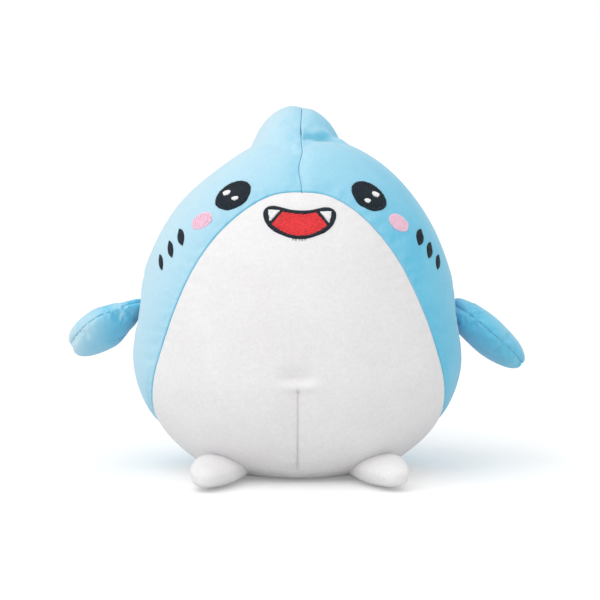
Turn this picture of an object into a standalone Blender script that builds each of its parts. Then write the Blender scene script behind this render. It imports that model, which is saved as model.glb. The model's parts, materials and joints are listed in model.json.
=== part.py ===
"""Stuffed plush shark that sits upright: pear-shaped body, dorsal fin, two flapping side fins, a wagging tail,
two stub feet and an embroidered face. Metres, +Z up, face towards -Y, +X on the viewer's right."""

import math

import bmesh
import bpy
from mathutils import Matrix, Vector

# --- body ---------------------------------------------------------------------------------------------------
HALF_WIDTH = 0.1025
FRONT_DEPTH = 0.082
BACK_DEPTH = 0.088
UP_HEIGHT = 0.137
DOWN_HEIGHT = 0.0820
LOWER_POWER = 1.85
FLOOR_ROUNDING = 0.004
BODY_CENTRE = Vector((0.0, -0.0265, 0.072))

# --- dorsal fin, a swept bump that is part of the two side panels ------------------------------------------
FIN_LEAN = math.radians(20.5)
FIN_BASE_RADIUS = 0.0905
FIN_RISE = 0.0700
FIN_HALF_THICKNESS = 0.272
FIN_HALF_LENGTH_FRONT = 0.40
FIN_HALF_LENGTH_BACK = 0.33
FIN_FILLET = 0.012

# --- fabric and sewing --------------------------------------------------------------------------------------
FABRIC = 0.0012
GAP = 0.0003
SEAM_HALF_GAP = 0.0003
THREAD = 0.0008
THREAD_UPPER = 0.0006
DART_DEPTH = 0.0012
DART_HALF_WIDTH = 0.004
SEAM_CORNER_FACTOR = 5.0
SHELL_FACTOR_LIMIT = 1.6

# --- panel layout, as (azimuth, elevation) degrees seen from the body's centre ------------------------------
TOP_ELEVATION = 63.9
REAR_ELEVATION = -60.0
BELLY_EDGE = [
    (0.0, 63.9),
    (20.0, 61.8),
    (36.2, 53.8),
    (47.7, 39.9),
    (55.3, 22.0),
    (62.6, 3.5),
    (70.9, -11.5),
    (85.0, -25.0),
    (110.0, -41.0),
    (145.0, -54.0),
    (180.0, -60.0),
]
NAVEL_ELEVATION = -5.5
DART_FADE_IN = 6.0
DART_END_ELEVATION = -58.0
DART_FADE_OUT = 14.0
ROWS = 25
ROW_CROWDING = 1.3
BELLY_COLUMNS = 5
SIDE_COLUMNS = 11
SIDE_CROWDING = 1.9

# --- side fins ----------------------------------------------------------------------------------------------
SIDE_FIN_HALF_THICKNESS = 0.0125
SIDE_FIN_HALF_CHORD = 0.027
SIDE_FIN_SWEEP = 0.28
SIDE_FIN_TAPER = 0.18
SIDE_FIN_AXIS_Z = 0.091
SIDE_FIN_AXIS_Y = BODY_CENTRE.y + 0.010
SIDE_FIN_AXIS_X = 0.1135
LEFT_FIN_SPAN = 0.0315
LEFT_FIN_DROOP = 25.0
RIGHT_FIN_SPAN = 0.0344
RIGHT_FIN_DROOP = 34.0
FIN_SEGMENTS = 16
FIN_RINGS = 8

# --- tail ---------------------------------------------------------------------------------------------------
TAIL_HALF_THICKNESS = 0.012
TAIL_HALF_ROOT = 0.019
TAIL_LENGTH = 0.041
TAIL_AXIS_Y = BODY_CENTRE.y + BACK_DEPTH + TAIL_HALF_THICKNESS + 0.0008
TAIL_AXIS_Z = 0.074
TAIL_UPPER_FLARE = 1.25
TAIL_LOWER_FLARE = 0.65
TAIL_NOTCH = 0.38
TAIL_NOTCH_WIDTH = 0.32
TAIL_RISE = 0.10
TAIL_TAPER = 0.25
TAIL_SEGMENTS = 16
TAIL_RINGS = 12

# --- feet ---------------------------------------------------------------------------------------------------
FOOT_X = 0.0475
FOOT_Y = BODY_CENTRE.y - 0.046
FOOT_Z = 0.0095
FOOT_HALF_WIDTH = 0.0143
FOOT_HALF_HEIGHT = 0.0098
FOOT_LENGTH = 0.0340
FOOT_TURN = 20.0
FOOT_SEAT_Z = 0.005
SOLE_FLATNESS = 0.65
SEARCH_REACH = 0.06
SEARCH_STEPS = 40
FOOT_SEGMENTS = 16
FOOT_RINGS = 8
FOOT_FILLING_INSET = FABRIC + 4 * GAP

# --- face ---------------------------------------------------------------------------------------------------
EYE_AZIMUTH = 44.1
EYE_ELEVATION = 59.8
EYE_HALF_LENGTH = 0.0122
EYE_HALF_WIDTH = 0.0105
EYE_TILT = 46.0
# across, up, half length and half width of each glint, in the eye's own tilted frame
EYE_GLINTS = {
    "left": {"large": (-0.0025, 0.0048, 0.0029, 0.0024), "small": (0.0004, -0.0032, 0.0024, 0.0017)},
    "right": {"large": (0.0032, 0.0041, 0.0029, 0.0026), "small": (-0.0004, -0.0038, 0.0022, 0.0019)},
}
BLUSH_AZIMUTH = 54.5
BLUSH_ELEVATION = 50.0
BLUSH_HALF_LENGTH = 0.0077
BLUSH_HALF_WIDTH = 0.0056
GILL_PLACES = [(64.5, 44.1), (68.0, 39.6), (71.5, 34.8)]
GILL_HALF_LENGTH = 0.0064
GILL_HALF_WIDTH = 0.0026
GILL_TILT = 45.0
MOUTH_ELEVATION = 53.9
MOUTH_LINE = 0.0025
# right half of the mouth outline's middle line, from the top centre round to the bottom centre, in metres
MOUTH_LOOP = [
    (0.0, 0.0069),
    (0.0096, 0.0087),
    (0.0170, 0.0114),
    (0.0206, 0.0093),
    (0.0204, 0.0062),
    (0.0178, 0.0002),
    (0.0130, -0.0046),
    (0.0070, -0.0078),
    (0.0, -0.0091),
]
MOUTH_TOP_CURVE = 11.0
MOUTH_BOTTOM_RISE = 0.0068
MOUTH_BOTTOM_POWER = 2.0
RED_INSET = 0.0017
RED_HALF_BOTTOM = 0.0146
RED_HALF_TOP = 0.0102
TOOTH = [(0.0127, 0.0074), (0.0182, 0.0086), (0.0168, 0.0030)]
TOOTH_LINE = [(0.0112, 0.0072), (0.0156, 0.0014)]
TOOTH_LINE_WIDTH = 0.0014

SURFACES = {
    "blue_plush": ((0.33, 0.66, 0.79), 0.95),
    "white_plush": ((0.86, 0.85, 0.84), 0.95),
    "stuffing": ((0.90, 0.90, 0.88), 1.0),
    "black_thread": ((0.02, 0.025, 0.035), 0.6),
    "white_thread": ((0.88, 0.88, 0.87), 0.6),
    "red_thread": ((0.78, 0.06, 0.07), 0.6),
    "pink_thread": ((0.90, 0.55, 0.62), 0.6),
}


def smooth_max(a, b, width):
    """The larger of two values, with a fillet of the given width where they cross."""
    mix = min(max(0.5 + 0.5 * (a - b) / width, 0.0), 1.0)
    return b + (a - b) * mix + width * mix * (1.0 - mix)


def body_radius(way):
    """Distance from the body's centre to the fabric's outside along a unit direction."""
    depth = FRONT_DEPTH if way.y < 0 else BACK_DEPTH
    height = UP_HEIGHT if way.z > 0 else DOWN_HEIGHT
    power = 2.0 if way.z > 0 else LOWER_POWER
    level = math.hypot(way.x / HALF_WIDTH, way.y / depth)
    radius = (level**power + abs(way.z / height) ** power) ** (-1.0 / power)
    if way.z < -0.2:
        floor = BODY_CENTRE.z / -way.z
        radius = -smooth_max(-radius, -floor, FLOOR_ROUNDING)
    return smooth_max(dorsal_radius(way), radius, FIN_FILLET)


def dorsal_radius(way):
    """Distance to the dorsal fin's outside: a rounded bump about a leaning line, longer than it is thick."""
    along = Vector((0.0, math.sin(FIN_LEAN), math.cos(FIN_LEAN)))
    backward = Vector((0.0, math.cos(FIN_LEAN), -math.sin(FIN_LEAN)))
    run = way.dot(backward)
    length = FIN_HALF_LENGTH_BACK if run > 0 else FIN_HALF_LENGTH_FRONT
    off = (way.x / FIN_HALF_THICKNESS) ** 2 + (run / length) ** 2
    if way.dot(along) <= 0 or off >= 1:
        return 0.0
    return FIN_BASE_RADIUS + FIN_RISE * math.sqrt(1.0 - off)


def direction(azimuth, elevation):
    """Unit direction for angles in degrees: azimuth 0 is the face's side, positive towards +X."""
    a = math.radians(azimuth)
    e = math.radians(elevation)
    return Vector((math.sin(a) * math.cos(e), -math.cos(a) * math.cos(e), math.sin(e)))


def skin_point(way, lift=0.0):
    return BODY_CENTRE + way * (body_radius(way) + lift)


def skin_normal(way):
    """Outward normal of the skin, from two nearby skin points."""
    across = way.orthogonal().normalized()
    up = way.cross(across)
    step = 0.01
    first = skin_point((way + across * step).normalized()) - skin_point((way - across * step).normalized())
    second = skin_point((way + up * step).normalized()) - skin_point((way - up * step).normalized())
    return first.cross(second).normalized()


def arc(start, end, share):
    return start.slerp(end, share) if start.angle(end) > 1e-6 else start.copy()


def along_curve(points, share):
    """Direction at a share of the way along a smooth curve through (azimuth, elevation) points."""
    ways = [direction(*p) for p in points]
    ways = [ways[0] * 2 - ways[1]] + ways + [ways[-1] * 2 - ways[-2]]
    spans = [ways[i].angle(ways[i + 1]) for i in range(1, len(ways) - 2)]
    left = share * sum(spans)
    i = 0
    while i < len(spans) - 1 and left > spans[i]:
        left -= spans[i]
        i += 1
    t = min(left / spans[i], 1.0)
    a, b, c, d = ways[i : i + 4]
    way = b * 2 + (c - a) * t + (a * 2 - b * 5 + c * 4 - d) * t**2 + (b * 3 - a - c * 3 + d) * t**3
    return way.normalized()


def centre_line(share, over_the_top):
    """Direction on the body's mirror plane, from the belly's top point to its rear point, by front or by back."""
    start = TOP_ELEVATION
    end = -180.0 - REAR_ELEVATION if not over_the_top else 180.0 - REAR_ELEVATION
    angle = math.radians(start + (end - start) * share)
    return Vector((0.0, -math.cos(angle), math.sin(angle)))


def dart(way, point):
    """Draws the belly in along the sewn dart that runs from the navel down to the base."""
    elevation = math.degrees(math.asin(max(min(way.z, 1.0), -1.0)))
    if way.y > 0 or elevation > NAVEL_ELEVATION:
        return point
    start = min((NAVEL_ELEVATION - elevation) / DART_FADE_IN, 1.0)
    end = min(max((elevation - DART_END_ELEVATION) / DART_FADE_OUT, 0.0), 1.0)
    depth = DART_DEPTH * start * end * math.exp(-((point.x / DART_HALF_WIDTH) ** 2))
    return point - skin_normal(way) * depth


def belly_place(s, t, side):
    s = s**ROW_CROWDING
    way = arc(centre_line(s, False), along_curve(BELLY_EDGE, s), t)
    way.x *= side
    return dart(way, skin_point(way))


def side_place(s, t, side):
    s = s**ROW_CROWDING
    way = arc(along_curve(BELLY_EDGE, s), centre_line(s, True), 1.0 - (1.0 - t) ** SIDE_CROWDING)
    way.x *= side
    return skin_point(way)


# --- mesh building ------------------------------------------------------------------------------------------
def sheet(rows, columns, place):
    """Open sheet: a grid primitive laid out by place(s, t), its faces turned away from the body's centre."""
    bm = bmesh.new()
    bmesh.ops.create_grid(bm, x_segments=columns, y_segments=rows, size=0.5)
    for vert in bm.verts:
        vert.co = place(min(max(vert.co.y + 0.5, 0.0), 1.0), min(max(vert.co.x + 0.5, 0.0), 1.0))
    bmesh.ops.remove_doubles(bm, verts=bm.verts, dist=1e-6)
    face_away(bm, BODY_CENTRE)
    return bm


def face_away(bm, point):
    """Turns a mesh's faces away from a point."""
    bm.normal_update()
    outward = sum(f.normal.dot(f.calc_center_median() - point) * f.calc_area() for f in bm.faces)
    if outward < 0:
        bmesh.ops.reverse_faces(bm, faces=bm.faces)
        bm.normal_update()


def draw_in_edge(bm, amount):
    """Moves an open sheet's edge back into the sheet, leaving room for the seam."""
    moves = {}
    for vert in bm.verts:
        if not vert.is_boundary:
            continue
        inner = [e.other_vert(vert) for e in vert.link_edges if not e.is_boundary]
        if inner:
            step = sum(((v.co - vert.co).normalized() for v in inner), Vector())
        else:
            step = sum((f.calc_center_median() - vert.co for f in vert.link_faces), Vector())
        moves[vert] = step.normalized() * amount * (1.0 if len(inner) == 1 else SEAM_CORNER_FACTOR)
    for vert, move in moves.items():
        vert.co += move


def join(sheets):
    """One closed mesh from open sheets that share their edges, each face's material slot naming its sheet."""
    whole = bmesh.new()
    for i, bm in enumerate(sheets):
        for face in bm.faces:
            face.material_index = i
        mesh = bpy.data.meshes.new("piece")
        bm.to_mesh(mesh)
        whole.from_mesh(mesh)
        bpy.data.meshes.remove(mesh)
        bm.free()
    bmesh.ops.remove_doubles(whole, verts=whole.verts, dist=2e-6)
    face_away(whole, BODY_CENTRE)
    return whole


def shrink(bm, amount):
    """Moves every vertex inwards so each face moves by about the amount."""
    moves = {v: v.normal * amount * min(v.calc_shell_factor(), SHELL_FACTOR_LIMIT) for v in bm.verts}
    for vert, move in moves.items():
        vert.co -= move


def fabric_piece(bm, keep, seam=0.0):
    """Cuts a closed skin down to the fabric over the faces that keep(face) picks, drawn in along its seams."""
    inward = bm.verts.layers.float_vector.new("inward")
    for vert in bm.verts:
        vert[inward] = -vert.normal * FABRIC
    bmesh.ops.delete(bm, geom=[f for f in bm.faces if not keep(f)], context="FACES")
    draw_in_edge(bm, seam)
    made = bmesh.ops.extrude_face_region(bm, geom=list(bm.faces), use_keep_orig=True)["geom"]
    for vert in (g for g in made if isinstance(g, bmesh.types.BMVert)):
        vert.co += vert[inward]
    bm.normal_update()
    bmesh.ops.recalc_face_normals(bm, faces=bm.faces)


def unit_half(bm, axis, sign):
    """Picks the faces of a ball on one side of its unit sphere."""
    unit = bm.faces.layers.float_vector["unit"]
    return lambda face: face[unit][axis] * sign > 0


def finish(name, bm, surface, thickness=0.0, location=None):
    """Object from a mesh, with its own material and, for a sheet, a thickness added on its outside."""
    mesh = bpy.data.meshes.new(name)
    bm.to_mesh(mesh)
    bm.free()
    for polygon in mesh.polygons:
        polygon.use_smooth = True
        polygon.material_index = 0
    obj = bpy.data.objects.new(name, mesh)
    PARTS.objects.link(obj)
    if location is not None:
        obj.location = location
        mesh.transform(Matrix.Translation(-location))
    colour, roughness = SURFACES[surface]
    material = bpy.data.materials.new(name + "." + surface)
    material.use_nodes = True
    shader = material.node_tree.nodes["Principled BSDF"]
    shader.inputs["Base Color"].default_value = (*colour, 1.0)
    shader.inputs["Roughness"].default_value = roughness
    shader.inputs["Metallic"].default_value = 0.0
    mesh.materials.append(material)
    if thickness:
        stitches = obj.modifiers.new("stitches", "SOLIDIFY")
        stitches.thickness = thickness
        stitches.offset = 1.0


# --- body ---------------------------------------------------------------------------------------------------
def whole_skin():
    """The closed outer skin: right belly half, right side, left belly half, left side."""
    sheets = []
    for side in (1, -1):
        sheets.append(sheet(ROWS, BELLY_COLUMNS, lambda s, t, k=side: belly_place(s, t, k)))
        sheets.append(sheet(ROWS, SIDE_COLUMNS, lambda s, t, k=side: side_place(s, t, k)))
    return join(sheets)


def build_body():
    core = whole_skin()
    shrink(core, FABRIC + GAP)
    finish("body_stuffing", core, "stuffing")
    panels = (
        ("belly_panel", (0, 2), "white_plush"),
        ("right_side_panel", (1,), "blue_plush"),
        ("left_side_panel", (3,), "blue_plush"),
    )
    for name, slots, surface in panels:
        bm = whole_skin()
        fabric_piece(bm, lambda f, kept=slots: f.material_index in kept, SEAM_HALF_GAP)
        finish(name, bm, surface)


# --- side fins and tail, each a stretched sphere whose poles lie on its hinge axis --------------------------
def ball(segments, rings, place, inside):
    """Sphere primitive with its poles on Z, laid out by place(x, y, z) of the unit sphere, its faces turned away
    from the point inside and keeping their place on the unit sphere in the layer "unit"."""
    bm = bmesh.new()
    bmesh.ops.create_uvsphere(bm, u_segments=segments, v_segments=rings, radius=1.0)
    unit = bm.faces.layers.float_vector.new("unit")
    for face in bm.faces:
        face[unit] = face.calc_center_median()
    for vert in bm.verts:
        vert.co = place(*vert.co)
    face_away(bm, inside)
    return bm


def side_fin_place(span, side):
    def place(x, y, z):
        out = x * (span if x > 0 else SIDE_FIN_HALF_THICKNESS)
        taper = 1.0 - SIDE_FIN_TAPER * max(x, 0.0)
        chord = SIDE_FIN_HALF_CHORD * z + SIDE_FIN_SWEEP * max(out, 0.0)
        return Vector((out * side, chord, y * SIDE_FIN_HALF_THICKNESS * taper))

    return place


def build_side_fin(name, side, span, droop):
    hinge = Vector((SIDE_FIN_AXIS_X * side, SIDE_FIN_AXIS_Y, SIDE_FIN_AXIS_Z))
    turn = Matrix.Rotation(math.radians(droop) * side, 4, "Y")
    place = side_fin_place(span, side)
    for part, sign in (("upper_panel", 1), ("lower_panel", -1), ("stuffing", 0)):
        bm = ball(FIN_SEGMENTS, FIN_RINGS, place, Vector())
        if sign:
            fabric_piece(bm, unit_half(bm, 1, sign), SEAM_HALF_GAP)
        else:
            shrink(bm, FABRIC + 2 * GAP)
        bm.transform(Matrix.Translation(hinge) @ turn)
        surface = "blue_plush" if sign else "stuffing"
        finish(f"{name}_fin_{part}", bm, surface, location=hinge)


def tail_place(x, y, z):
    notch = 1.0 - TAIL_NOTCH * math.exp(-((z / TAIL_NOTCH_WIDTH) ** 2))
    out = y * (TAIL_LENGTH * notch if y > 0 else TAIL_HALF_THICKNESS)
    flare = TAIL_UPPER_FLARE if z > 0 else TAIL_LOWER_FLARE
    reach = max(out, 0.0)
    height = TAIL_HALF_ROOT * z * (1.0 + flare * reach / TAIL_LENGTH) + TAIL_RISE * reach
    taper = 1.0 - TAIL_TAPER * max(y, 0.0)
    return Vector((x * TAIL_HALF_THICKNESS * taper, out, height))


def build_tail():
    hinge = Vector((0.0, TAIL_AXIS_Y, TAIL_AXIS_Z))
    for part, sign in (("left_panel", -1), ("right_panel", 1), ("stuffing", 0)):
        bm = ball(TAIL_SEGMENTS, TAIL_RINGS, tail_place, Vector())
        if sign:
            fabric_piece(bm, unit_half(bm, 0, sign), SEAM_HALF_GAP)
        else:
            shrink(bm, FABRIC + 2 * GAP)
        bm.transform(Matrix.Translation(hinge))
        surface = "blue_plush" if sign else "stuffing"
        finish(f"tail_{part}", bm, surface, location=hinge)


# --- feet ---------------------------------------------------------------------------------------------------
def back_to_skin(point, along, lift):
    """The place where a line through a point, along a direction, comes out of the lifted skin."""
    low = -SEARCH_REACH
    high = SEARCH_REACH
    for _ in range(SEARCH_STEPS):
        middle = (low + high) / 2
        probe = point + along * middle - BODY_CENTRE
        if probe.length > body_radius(probe.normalized()) + lift:
            high = middle
        else:
            low = middle
    return point + along * high


def foot_place(side, inset=0.0):
    """Layout of a stub foot: a dome in front with a flattened sole, and behind it a hollow that fits the belly.
    An inset makes the same shape smaller all round."""
    turn = math.radians(FOOT_TURN) * side
    out = Vector((math.sin(turn), -math.cos(turn), 0.0))
    across = Vector((math.cos(turn), math.sin(turn), 0.0))
    centre = Vector((FOOT_X * side, FOOT_Y, FOOT_Z))

    def flat(x, y):
        rise = y * (FOOT_HALF_HEIGHT - inset) if y > 0 else (inset - FOOT_Z) * abs(y) ** SOLE_FLATNESS
        return centre + across * (x * (FOOT_HALF_WIDTH - inset)) + Vector((0.0, 0.0, rise))

    def seat(x, y):
        point = flat(x, y)
        level = Vector((point.x, point.y, max(point.z, FOOT_SEAT_Z)))
        back = back_to_skin(level, out, 2 * GAP + inset)
        return Vector((back.x, back.y, point.z))

    def place(x, y, z):
        if z <= 1e-6:
            return seat(x, y)
        ring = max(math.hypot(x, y), 1e-6)
        rim = (seat(x / ring, y / ring) - centre).dot(out)
        return flat(x, y) + out * (rim + (FOOT_LENGTH - inset - rim) * z)

    return place


def build_foot(name, side):
    inside = Vector((FOOT_X * side, FOOT_Y, FOOT_Z))
    cover = ball(FOOT_SEGMENTS, FOOT_RINGS, foot_place(side), inside)
    fabric_piece(cover, unit_half(cover, 2, 1))
    finish(f"{name}_foot_cover", cover, "white_plush")
    filling = ball(FOOT_SEGMENTS, FOOT_RINGS, foot_place(side, FOOT_FILLING_INSET), inside)
    finish(f"{name}_foot_stuffing", filling, "stuffing")


# --- embroidery, thin patches that lie on the skin ----------------------------------------------------------
def lay_patch(name, surface, rows, columns, spot, tilt, place, lift=GAP, thickness=THREAD):
    """Thin patch: place(s, t) gives flat (across, up) metres about the spot, turned by tilt and laid on the skin."""
    way = direction(*spot)
    normal = skin_normal(way)
    across = Vector((math.cos(math.radians(spot[0])), math.sin(math.radians(spot[0])), 0.0))
    across = (across - normal * across.dot(normal)).normalized()
    up = normal.cross(across)
    up = up if up.z > 0 else -up
    turn = math.radians(tilt)
    middle = skin_point(way)

    def on_skin(s, t):
        x, y = place(s, t)
        a = x * math.cos(turn) - y * math.sin(turn)
        b = x * math.sin(turn) + y * math.cos(turn)
        return skin_point((middle + across * a + up * b - BODY_CENTRE).normalized(), lift)

    finish(name, sheet(rows, columns, on_skin), surface, thickness)


def oval(half_length, half_width):
    def place(s, t):
        x = -math.cos(math.pi * s)
        return x * half_length, (2.0 * t - 1.0) * half_width * math.sqrt(max(1.0 - x * x, 0.0))

    return place


def spindle(half_length, half_width):
    def place(s, t):
        y = 2.0 * s - 1.0
        return (2.0 * t - 1.0) * half_width * (1.0 - y * y), y * half_length

    return place


def shifted(place, across, up):
    def moved(s, t):
        x, y = place(s, t)
        return x + across, y + up

    return moved


def mouth_top(x):
    return MOUTH_LOOP[0][1] + MOUTH_TOP_CURVE * x * x


def mouth_bottom(x):
    return MOUTH_LOOP[-1][1] + MOUTH_BOTTOM_RISE * abs(x / RED_HALF_BOTTOM) ** MOUTH_BOTTOM_POWER


def mouth_line_point(share):
    """Point and outward normal on the mouth outline's middle, going once round."""
    half_loop = MOUTH_LOOP + [(-x, y) for x, y in reversed(MOUTH_LOOP[1:-1])]
    count = len(half_loop)
    step = (share % 1.0) * count
    i = int(step)
    t = step - i
    a, b, c, d = (Vector(half_loop[(i + k) % count]) for k in (-1, 0, 1, 2))
    point = 0.5 * (b * 2 + (c - a) * t + (a * 2 - b * 5 + c * 4 - d) * t**2 + (b * 3 - a - c * 3 + d) * t**3)
    slope = (c - a) * 0.5 * (1.0 - t) + (d - b) * 0.5 * t
    return point, Vector((slope.y, -slope.x)).normalized()


def build_mouth():
    spot = (0.0, MOUTH_ELEVATION)

    def outline(s, t):
        point, normal = mouth_line_point(s)
        return point + normal * ((t - 0.5) * MOUTH_LINE)

    lay_patch("mouth_outline", "black_thread", 2 * 2 * (len(MOUTH_LOOP) - 1), 2, spot, 0.0, outline)

    def red(s, t):
        bottom_x = (2.0 * s - 1.0) * RED_HALF_BOTTOM
        top_x = (2.0 * s - 1.0) * RED_HALF_TOP
        low = mouth_bottom(bottom_x) + RED_INSET + GAP
        high = mouth_top(top_x) - RED_INSET
        return bottom_x + (top_x - bottom_x) * t, low + (high - low) * t

    lay_patch("mouth_red", "red_thread", 8, 5, spot, 0.0, red)

    for side, name in ((-1, "left"), (1, "right")):
        corners = [Vector((x * side, y)) for x, y in TOOTH]
        ends = [Vector((x * side, y)) for x, y in TOOTH_LINE]

        def tooth(s, t, c=corners):
            return c[0].lerp(c[1], s).lerp(c[2], t)

        def tooth_line(s, t, e=ends):
            return e[0].lerp(e[1], s) + Vector(((t - 0.5) * TOOTH_LINE_WIDTH, 0.0))

        lay_patch(f"{name}_tooth", "white_thread", 3, 3, spot, 0.0, tooth)
        lay_patch(f"{name}_tooth_line", "black_thread", 4, 1, spot, 0.0, tooth_line)


def build_face():
    build_mouth()
    above_eye = GAP + THREAD + GAP
    for side, name in ((-1, "left"), (1, "right")):
        eye = (EYE_AZIMUTH * side, EYE_ELEVATION)
        tilt = -EYE_TILT * side
        lay_patch(f"{name}_eye", "black_thread", 8, 4, eye, tilt, oval(EYE_HALF_LENGTH, EYE_HALF_WIDTH))
        for size, (across, up, half_length, half_width) in EYE_GLINTS[name].items():
            glint = shifted(oval(half_length, half_width), across, up)
            lay_patch(f"{name}_eye_glint_{size}", "white_thread", 5, 2, eye, tilt, glint, above_eye, THREAD_UPPER)
        blush = (BLUSH_AZIMUTH * side, BLUSH_ELEVATION)
        round_patch = oval(BLUSH_HALF_LENGTH, BLUSH_HALF_WIDTH)
        lay_patch(f"{name}_blush", "pink_thread", 6, 3, blush, 0.0, round_patch)
        for i, (azimuth, elevation) in enumerate(GILL_PLACES):
            slit = spindle(GILL_HALF_LENGTH, GILL_HALF_WIDTH)
            gill = (azimuth * side, elevation)
            lay_patch(f"{name}_gill_{i + 1}", "black_thread", 5, 2, gill, -GILL_TILT * side, slit)


for old in list(bpy.data.objects):
    bpy.data.objects.remove(old, do_unlink=True)
PARTS = bpy.data.collections.new("plush_shark")
bpy.context.scene.collection.children.link(PARTS)

build_body()
build_side_fin("left", -1, LEFT_FIN_SPAN, LEFT_FIN_DROOP)
build_side_fin("right", 1, RIGHT_FIN_SPAN, RIGHT_FIN_DROOP)
build_tail()
build_foot("left", -1)
build_foot("right", 1)
build_face()
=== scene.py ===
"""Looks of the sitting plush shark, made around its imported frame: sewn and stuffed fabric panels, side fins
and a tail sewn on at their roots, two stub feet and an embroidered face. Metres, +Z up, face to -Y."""

import json
import math

import bmesh
import bpy
import numpy as np
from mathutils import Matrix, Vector
from mathutils.bvhtree import BVHTree
from mathutils.kdtree import KDTree


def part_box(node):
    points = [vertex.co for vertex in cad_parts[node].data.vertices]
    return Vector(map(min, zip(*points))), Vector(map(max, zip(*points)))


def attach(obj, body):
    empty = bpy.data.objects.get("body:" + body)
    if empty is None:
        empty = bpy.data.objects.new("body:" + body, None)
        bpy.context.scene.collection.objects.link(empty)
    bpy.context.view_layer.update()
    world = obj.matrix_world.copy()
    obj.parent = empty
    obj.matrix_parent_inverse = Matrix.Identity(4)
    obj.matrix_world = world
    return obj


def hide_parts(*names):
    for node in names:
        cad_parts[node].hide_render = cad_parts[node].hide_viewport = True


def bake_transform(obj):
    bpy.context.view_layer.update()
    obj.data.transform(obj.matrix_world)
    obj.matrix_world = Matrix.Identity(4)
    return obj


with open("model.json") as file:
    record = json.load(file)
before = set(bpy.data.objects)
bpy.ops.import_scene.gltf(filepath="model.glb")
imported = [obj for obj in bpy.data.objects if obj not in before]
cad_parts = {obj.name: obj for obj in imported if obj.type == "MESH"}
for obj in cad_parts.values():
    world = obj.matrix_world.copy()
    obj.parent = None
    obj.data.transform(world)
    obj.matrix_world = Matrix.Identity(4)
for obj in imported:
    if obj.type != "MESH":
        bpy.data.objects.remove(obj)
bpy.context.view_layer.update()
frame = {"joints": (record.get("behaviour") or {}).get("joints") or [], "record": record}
MM = 0.001

# --- body form, from the frame and a few shares of it ---
BELLY_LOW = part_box("belly_panel")[0]
LEFT_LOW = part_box("left_side_panel")[0]
RIGHT_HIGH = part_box("right_side_panel")[1]
BASE_PLACE = Vector(frame["record"]["mounts"][0]["pos_m"])
HEIGHT = RIGHT_HIGH.z
CENTRE_SHARE = 0.32
CENTRE = np.array([0.0, BASE_PLACE.y, HEIGHT * CENTRE_SHARE])
HALF_WIDTH = (RIGHT_HIGH.x - LEFT_LOW.x) / 2 + 0.4 * MM
FRONT_DEPTH = CENTRE[1] - BELLY_LOW.y
BACK_DEPTH = RIGHT_HIGH.y - CENTRE[1]
UP_HEIGHT = 137 * MM
DOWN_HEIGHT = 82 * MM
UPPER_POWER = 2.05
LOWER_POWER = 1.93
FLOOR_ROUNDING = 4 * MM
SHOULDER_WAY = (-math.sin(math.radians(24)), 0.0, math.cos(math.radians(24)))
SHOULDER_DROP = 0.036
SHOULDER_SPREAD = math.radians(15)

FIN_LEAN = math.radians(20.5)
FIN_LEAN_ASIDE = 0.003
FIN_BASE_RADIUS = 90.5 * MM
FIN_RISE = 69.5 * MM
FIN_HALF_THICKNESS = 0.262
FIN_HALF_LENGTH_FRONT = 0.60
FIN_HALF_LENGTH_BACK = 0.33
FIN_FILLET = 10.5 * MM
FIN_FILLET_CHANGE = 4.5 * MM
FIN_FILLET_SPREAD = 50 * MM

# --- panel layout, (azimuth, elevation) in degrees seen from the body's centre ---
TOP_ELEVATION = 63.9
REAR_ELEVATION = -60.0
BELLY_EDGE = [
    (0.0, TOP_ELEVATION), (20.0, 61.8), (36.2, 53.8), (47.7, 39.9), (55.3, 22.0), (62.6, 3.5),
    (70.9, -11.5), (85.0, -25.0), (110.0, -41.0), (145.0, -54.0), (180.0, REAR_ELEVATION),
]
# sideways wander of the middle seams: the angle round the mirror plane from the face, and the shift
MIDDLE_WANDER = [
    (-120, 0.0), (-60, -0.014), (-6, -0.016), (45, 0.004), (64, 0.015), (71, 0.001), (78.5, 0.019),
    (87, 0.016), (97, 0.022), (112, 0.030), (140, 0.012), (180, 0.0), (240, 0.0),
]
WANDER_STEPS = 720
WANDER_REACH = 0.12
# the belly panel reaches a little further on the left: how far, and where (sideways, up) on the unit sphere
LEFT_SPREAD = 0.028
LEFT_SPREAD_PLACE = (-0.62, 0.48)
LEFT_SPREAD_REACH = (0.30, 0.38)
NAVEL_ELEVATION = -6.3
NAVEL_FOLD = 6.6 * MM
DART_END_ELEVATION = -56.0

# --- fabric and sewing ---
FABRIC = 1.2 * MM
SEAM_GAP = 0.12 * MM
ALLOWANCE = (1.1 * MM, 2.3 * MM, 3.6 * MM)
RIM_ROLL = 1.3 * MM
CROWN_ROLL = 0.8 * MM
ROWS = 300
SIDE_COLUMNS = 76
BELLY_COLUMNS = 52
END_CROWDING = 9.0
END_REACH = 0.02

# --- lines and the body's smooth skin ---
# a direction that no skin direction meets, and the step between the skin points that give a normal
OFF_AXIS = (0.31, 0.87, 0.38)
NORMAL_STEP = 0.006
# directions that fall by less than this count as level, and the floor is this far off along them
LEVEL = 0.001
NO_FLOOR = 10.0


def unit(v):
    return v / np.linalg.norm(v, axis=-1, keepdims=True)


def smooth_max(a, b, width):
    """The larger of two values, with a fillet where they cross."""
    mix = np.clip(0.5 + 0.5 * (a - b) / width, 0.0, 1.0)
    return b + (a - b) * mix + width * mix * (1.0 - mix)


def smooth_step(value, low, high):
    share = np.clip((value - low) / (high - low), 0.0, 1.0)
    return share * share * (3.0 - 2.0 * share)


def hump(offset, reach):
    """1 where the offset is nought, fading over the reach."""
    return np.exp(-((offset / reach) ** 2))


def direction(azimuth, elevation):
    """Unit direction for angles in degrees: azimuth 0 is the face's side, positive towards +X."""
    a, e = np.radians(azimuth), np.radians(elevation)
    return np.stack([np.sin(a) * np.cos(e), -np.cos(a) * np.cos(e), np.sin(e) + 0 * a], -1)


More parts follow.
